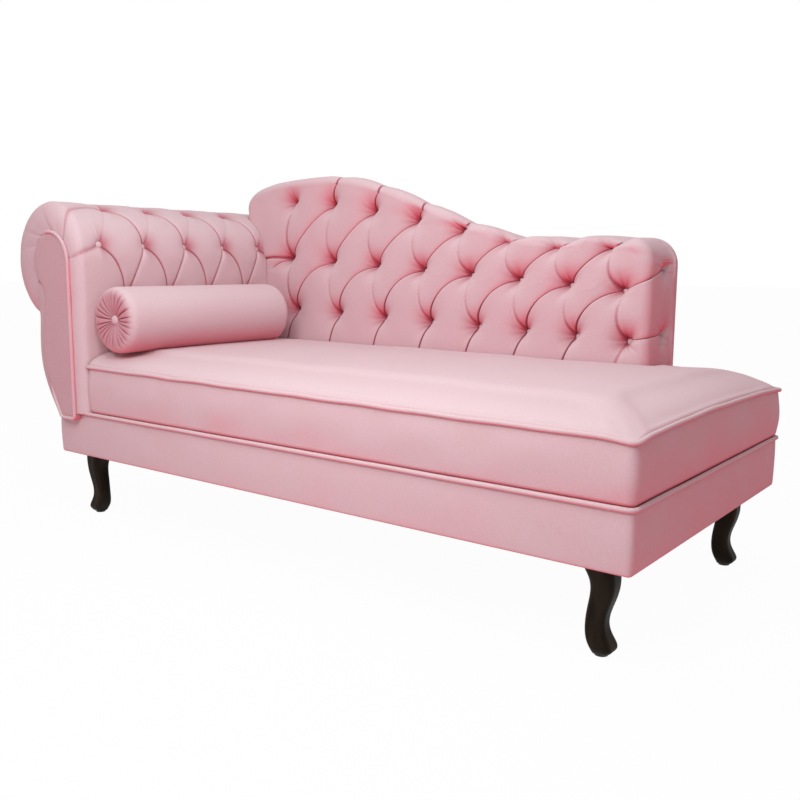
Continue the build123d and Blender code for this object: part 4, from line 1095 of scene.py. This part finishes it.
def make_base():
    """Fabric of the base, turned under at the bottom edge and drawn in at the welt."""
    path = round_path(BASE_PLAN, BASE_CORNER, 900, closed=True)
    along = np.arange(len(path)) * 0.0053
    height = DECK - BASE_BOTTOM
    rows = [(-0.030, -0.0006), (-0.012, -FABRIC)]
    for angle in linspace(0, pi / 2, 6):
        rows.append((TURNED * (sin(angle) - 1), TURNED * (1 - cos(angle)) - FABRIC))
    for share in append(linspace(0.1, 0.88, 8), linspace(0.9, 1, 6)):
        rows.append((0.002 * sin(pi * share) - 0.004 * drawn_in(1 - share), share * height))
    profile = []
    for proud, lift in rows:
        swelling = sin(pi * clip(lift / height, 0, 1))
        profile.append((proud + 0.0012 * ripple(along, lift, 0.18, 21) * swelling, BASE_BOTTOM + lift))
    nodes = ["base_cover_front", "base_cover_rear", "base_cover_left", "base_cover_right"]
    make_band("base_velvet", path, profile, nodes)


def make_welts():
    """Piping along the seat's top seam, and along the joint of seat and base."""
    front, right, rear = FRONT - WELT_PROUD, RIGHT + WELT_PROUD, REAR + WELT_PROUD
    for level, start, end, wave, pitch, seed in (
        ("upper", SEAT_LEFT, NOTCH_X, 0.0018, 0.20, 31),
        ("lower", FACING_HIGH.x, LEFT, 0.0006, 0.25, 33),
    ):
        corners = [(start, front), (right, front), (right, rear), (end, rear)]
        x, y = round_path(corners, SEAT_CORNER, 460).T
        height = seam_height(x, y) if level == "upper" else DECK
        points, faces = tube(stack(x, y, height + wave * ripple(x, y, pitch, seed)), PIPING)
        piece("seat_piping_" + level, points, faces, VELVET, ["seat_welt_" + level])


def make_dust_cover():
    """Thin lining under the base, sagging a little between the rails."""
    low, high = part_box("dust_cover")
    x, y = np.meshgrid(linspace(low.x, high.x, 60), linspace(low.y, high.y, 30), indexing="ij")
    sag = sin(pi * (x - low.x) / (high.x - low.x)) * sin(pi * (y - low.y) / (high.y - low.y))
    z = low.z + 0.0006 - 0.003 * sag + 0.0006 * ripple(x, y, 0.2, 41) * sag
    points, faces = stack(x, y, z).reshape(-1, 3), quads(*x.shape)[:, ::-1]
    sheet = piece("dust_lining", points, faces, FINISHES["lining"], ["dust_cover"])


make_seat_top()
make_boxing()
make_base()
make_welts()
make_dust_cover()


# Bolster
BOLSTER_LOW, BOLSTER_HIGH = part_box("bolster_cover")
BOLSTER_RADIUS = (BOLSTER_HIGH.x - BOLSTER_LOW.x) / 2
BOLSTER_X = BOLSTER_LOW.x + BOLSTER_RADIUS
BOLSTER_Z = BOLSTER_LOW.z + BOLSTER_RADIUS
BOLSTER_DOME = 0.013
BOLSTER_RIM = 0.014  # how far the rounding of the ends runs on to the tube
BOLSTER_GIVE = 0.001  # how much thinner than the CAD's, for the pressure to fill
BOLSTER_PLEATS = 25
BOLSTER_PLEAT = 0.0055
BOLSTER_DIP = 0.016  # round the buttons
BOLSTER_END_PAINTED_SHADE = 0.30  # even painted shade on the ends
BOLSTER_BUTTON = 0.013
# Rings of an end, as shares of the radius
END_SHARES = array((
    0.12, 0.15, 0.19, 0.24, 0.30, 0.37, 0.45, 0.53, 0.61, 0.69,
    0.76, 0.82, 0.87, 0.91, 0.945, 0.97, 0.985, 0.995, 1.0,
))


def make_bolster():
    """Round tube whose ends are gathered into pleats under a covered button. Pressure fills it out."""
    share = END_SHARES
    fall = (BOLSTER_DOME + BOLSTER_RIM) * (1 - (1 - share**7) ** (1 / 2.2))
    end_y = BOLSTER_LOW.y - BOLSTER_DOME + fall + BOLSTER_DIP * bell(share, 0.32, 1.6)
    middle = (BOLSTER_LOW.y + BOLSTER_HIGH.y) / 2
    tube_y = linspace(BOLSTER_LOW.y + BOLSTER_RIM, middle, 28)[1:]
    on_end = BOLSTER_PLEAT * ease(share, 0.10, 0.22) * (1 - ease(share, 0.55, 1.0))
    half_y = append(end_y, tube_y)
    half_radius = (BOLSTER_RADIUS - BOLSTER_GIVE) * append(share, np.ones(len(tube_y)))
    half_mark = append(on_end, np.zeros(len(tube_y)))
    y = append(half_y, 2 * middle - half_y[-2::-1])
    radius, mark = (append(half, half[-2::-1]) for half in (half_radius, half_mark))
    slope = unit(stack(np.gradient(y), np.gradient(radius)))

    sides = BOLSTER_PLEATS * 10
    turn = full_turn(sides)
    bend = turn + 0.07 * sin(3 * turn + 1) + 0.04 * sin(7 * turn)
    groove = (1 - np.abs(sin(BOLSTER_PLEATS * bend / 2))) ** 2.2
    sunk = mark[:, None] * groove
    wave = 1 + 0.005 * ripple(cos(turn) * 0.08, y[:, None], 0.2, 51)
    reach = radius[:, None] * wave - sunk * slope[:, :1]
    along = y[:, None] + sunk * slope[:, 1:]
    points = stack(BOLSTER_X + reach * cos(turn), along, BOLSTER_Z + reach * sin(turn)).reshape(-1, 3)
    faces = [face[::-1] for face in ring_faces(len(y), sides, shut_start=True)]
    # Painted shade: the ends darker as a whole, darkest in the grooves of their pleats
    painted_tone = BOLSTER_END_PAINTED_SHADE * (1 - ease(radius / BOLSTER_RADIUS, 0.70, 0.98))
    painted_shade = painted_tone[:, None] + 220 * mark[:, None] * groove**3
    nodes = ["bolster_cover", "bolster_core", "bolster_end_front", "bolster_end_rear"]
    made = piece("bolster_velvet", points, faces, VELVET_LIT_FROM_RIGHT, nodes, "bolster", painted_shade=painted_shade)
    x, _, z = vertices_of(made).T
    swell(made, np.hypot(x - BOLSTER_X, z - BOLSTER_Z) < 0.2 * BOLSTER_RADIUS, 2.0, 0.003)
    sunk = BOLSTER_DOME - 0.015
    for end, y, way in (("front", BOLSTER_LOW.y - sunk, -1), ("rear", BOLSTER_HIGH.y + sunk, 1)):
        spot = ((BOLSTER_X, y, BOLSTER_Z), (0, way, 0))
        name, node = "bolster_covered_button_" + end, "bolster_button_" + end
        domes(name, [spot], [node], VELVET_LIT_FROM_RIGHT, BOLSTER_BUTTON, "bolster")


make_bolster()


# Stage: camera, floor, light
CAMERA_PLACE = (1.4270, -1.6985, 0.6590)
AZIMUTH = radians(37.5591)
ELEVATION = radians(8.5223)
ROLL = radians(0.3025)
LENS = 40.31
SENSOR = 36
FLOOR_HALF = 30.0
FLOOR_GLOW = 0.97  # share of plain white that the camera sees
LAMPS = (  # name, place, aim, size, watts
    ("key", (0.50, -1.90, 1.75), (0.0, 0.0, 0.45), 0.9, 20),
    ("fill", (0.62, -0.90, 1.50), (-0.5, 0.1, 0.5), 0.5, 7.5),
    ("top", (0.0, -0.20, 2.60), (0.1, 0.0, 0.4), 2.0, 9),
)


def make_camera():
    camera = bpy.data.cameras.new("camera")
    camera.sensor_width = SENSOR
    camera.lens = LENS
    holder = new_object("camera", camera)
    turn = Matrix.Rotation(AZIMUTH, 4, "Z") @ Matrix.Rotation(pi / 2 - ELEVATION, 4, "X")
    holder.matrix_world = Matrix.Translation(CAMERA_PLACE) @ turn @ Matrix.Rotation(ROLL, 4, "Z")
    bpy.context.scene.camera = holder


def make_lamps():
    for name, place, aim, size, watts in LAMPS:
        lamp = bpy.data.lights.new(name, "AREA")
        lamp.size = size
        lamp.energy = watts
        holder = new_object(name, lamp)
        holder.location = place
        holder.rotation_euler = (Vector(aim) - Vector(place)).to_track_quat("-Z", "Y").to_euler()


def seen_directly(tree):
    """1 where the camera, a reflection or a transparent surface sees the background."""
    seen = 0.0
    for ray in ("Is Camera Ray", "Is Glossy Ray", "Is Transmission Ray"):
        seen = add_node(tree, "Math", {0: seen, 1: add_node(tree, "LightPath", {}, ray)}, operation="MAXIMUM")
    return seen


def mix_shaders(tree, share, first, second, output):
    mixed = add_node(tree, "MixShader", {0: share, 1: first, 2: second})
    set_inputs(tree, tree.nodes[output], {"Surface": mixed})


def make_world():
    world = bpy.data.worlds.new("studio")
    world.use_nodes = True
    bpy.context.scene.world = world
    tree = world.node_tree
    light = tree.nodes["Background"]
    set_inputs(tree, light, {"Color": (1, 0.87, 0.89, 1), "Strength": 0.51})
    white = add_node(tree, "Background", {"Color": (*WHITE, 1), "Strength": 1.0})
    mix_shaders(tree, seen_directly(tree), light.outputs[0], white, "World Output")


def make_floor():
    """Pale floor: nearly white to the camera, and it still takes the shadow."""
    mesh = bpy.data.meshes.new("floor")
    corners = [(x * FLOOR_HALF, y * FLOOR_HALF, 0) for x, y in ((-1, -1), (1, -1), (1, 1), (-1, 1))]
    mesh.from_pydata(corners, [], [(0, 1, 2, 3)])
    floor = new_object("floor", mesh)
    material, tree, shader = new_material("pale_floor")
    look = {"Base Color": (0.82, 0.82, 0.82, 1), "Roughness": 0.9, "Specular IOR Level": 0.1}
    set_inputs(tree, shader, look)
    glow = add_node(tree, "Emission", {"Strength": 1.0})
    share = add_node(tree, "Math", {0: seen_directly(tree), 1: FLOOR_GLOW}, operation="MULTIPLY")
    mix_shaders(tree, share, shader.outputs[0], glow, "Material Output")
    mesh.materials.append(material)


make_camera()
make_world()
make_floor()
make_lamps()
bpy.context.scene.view_settings.view_transform = "Standard"
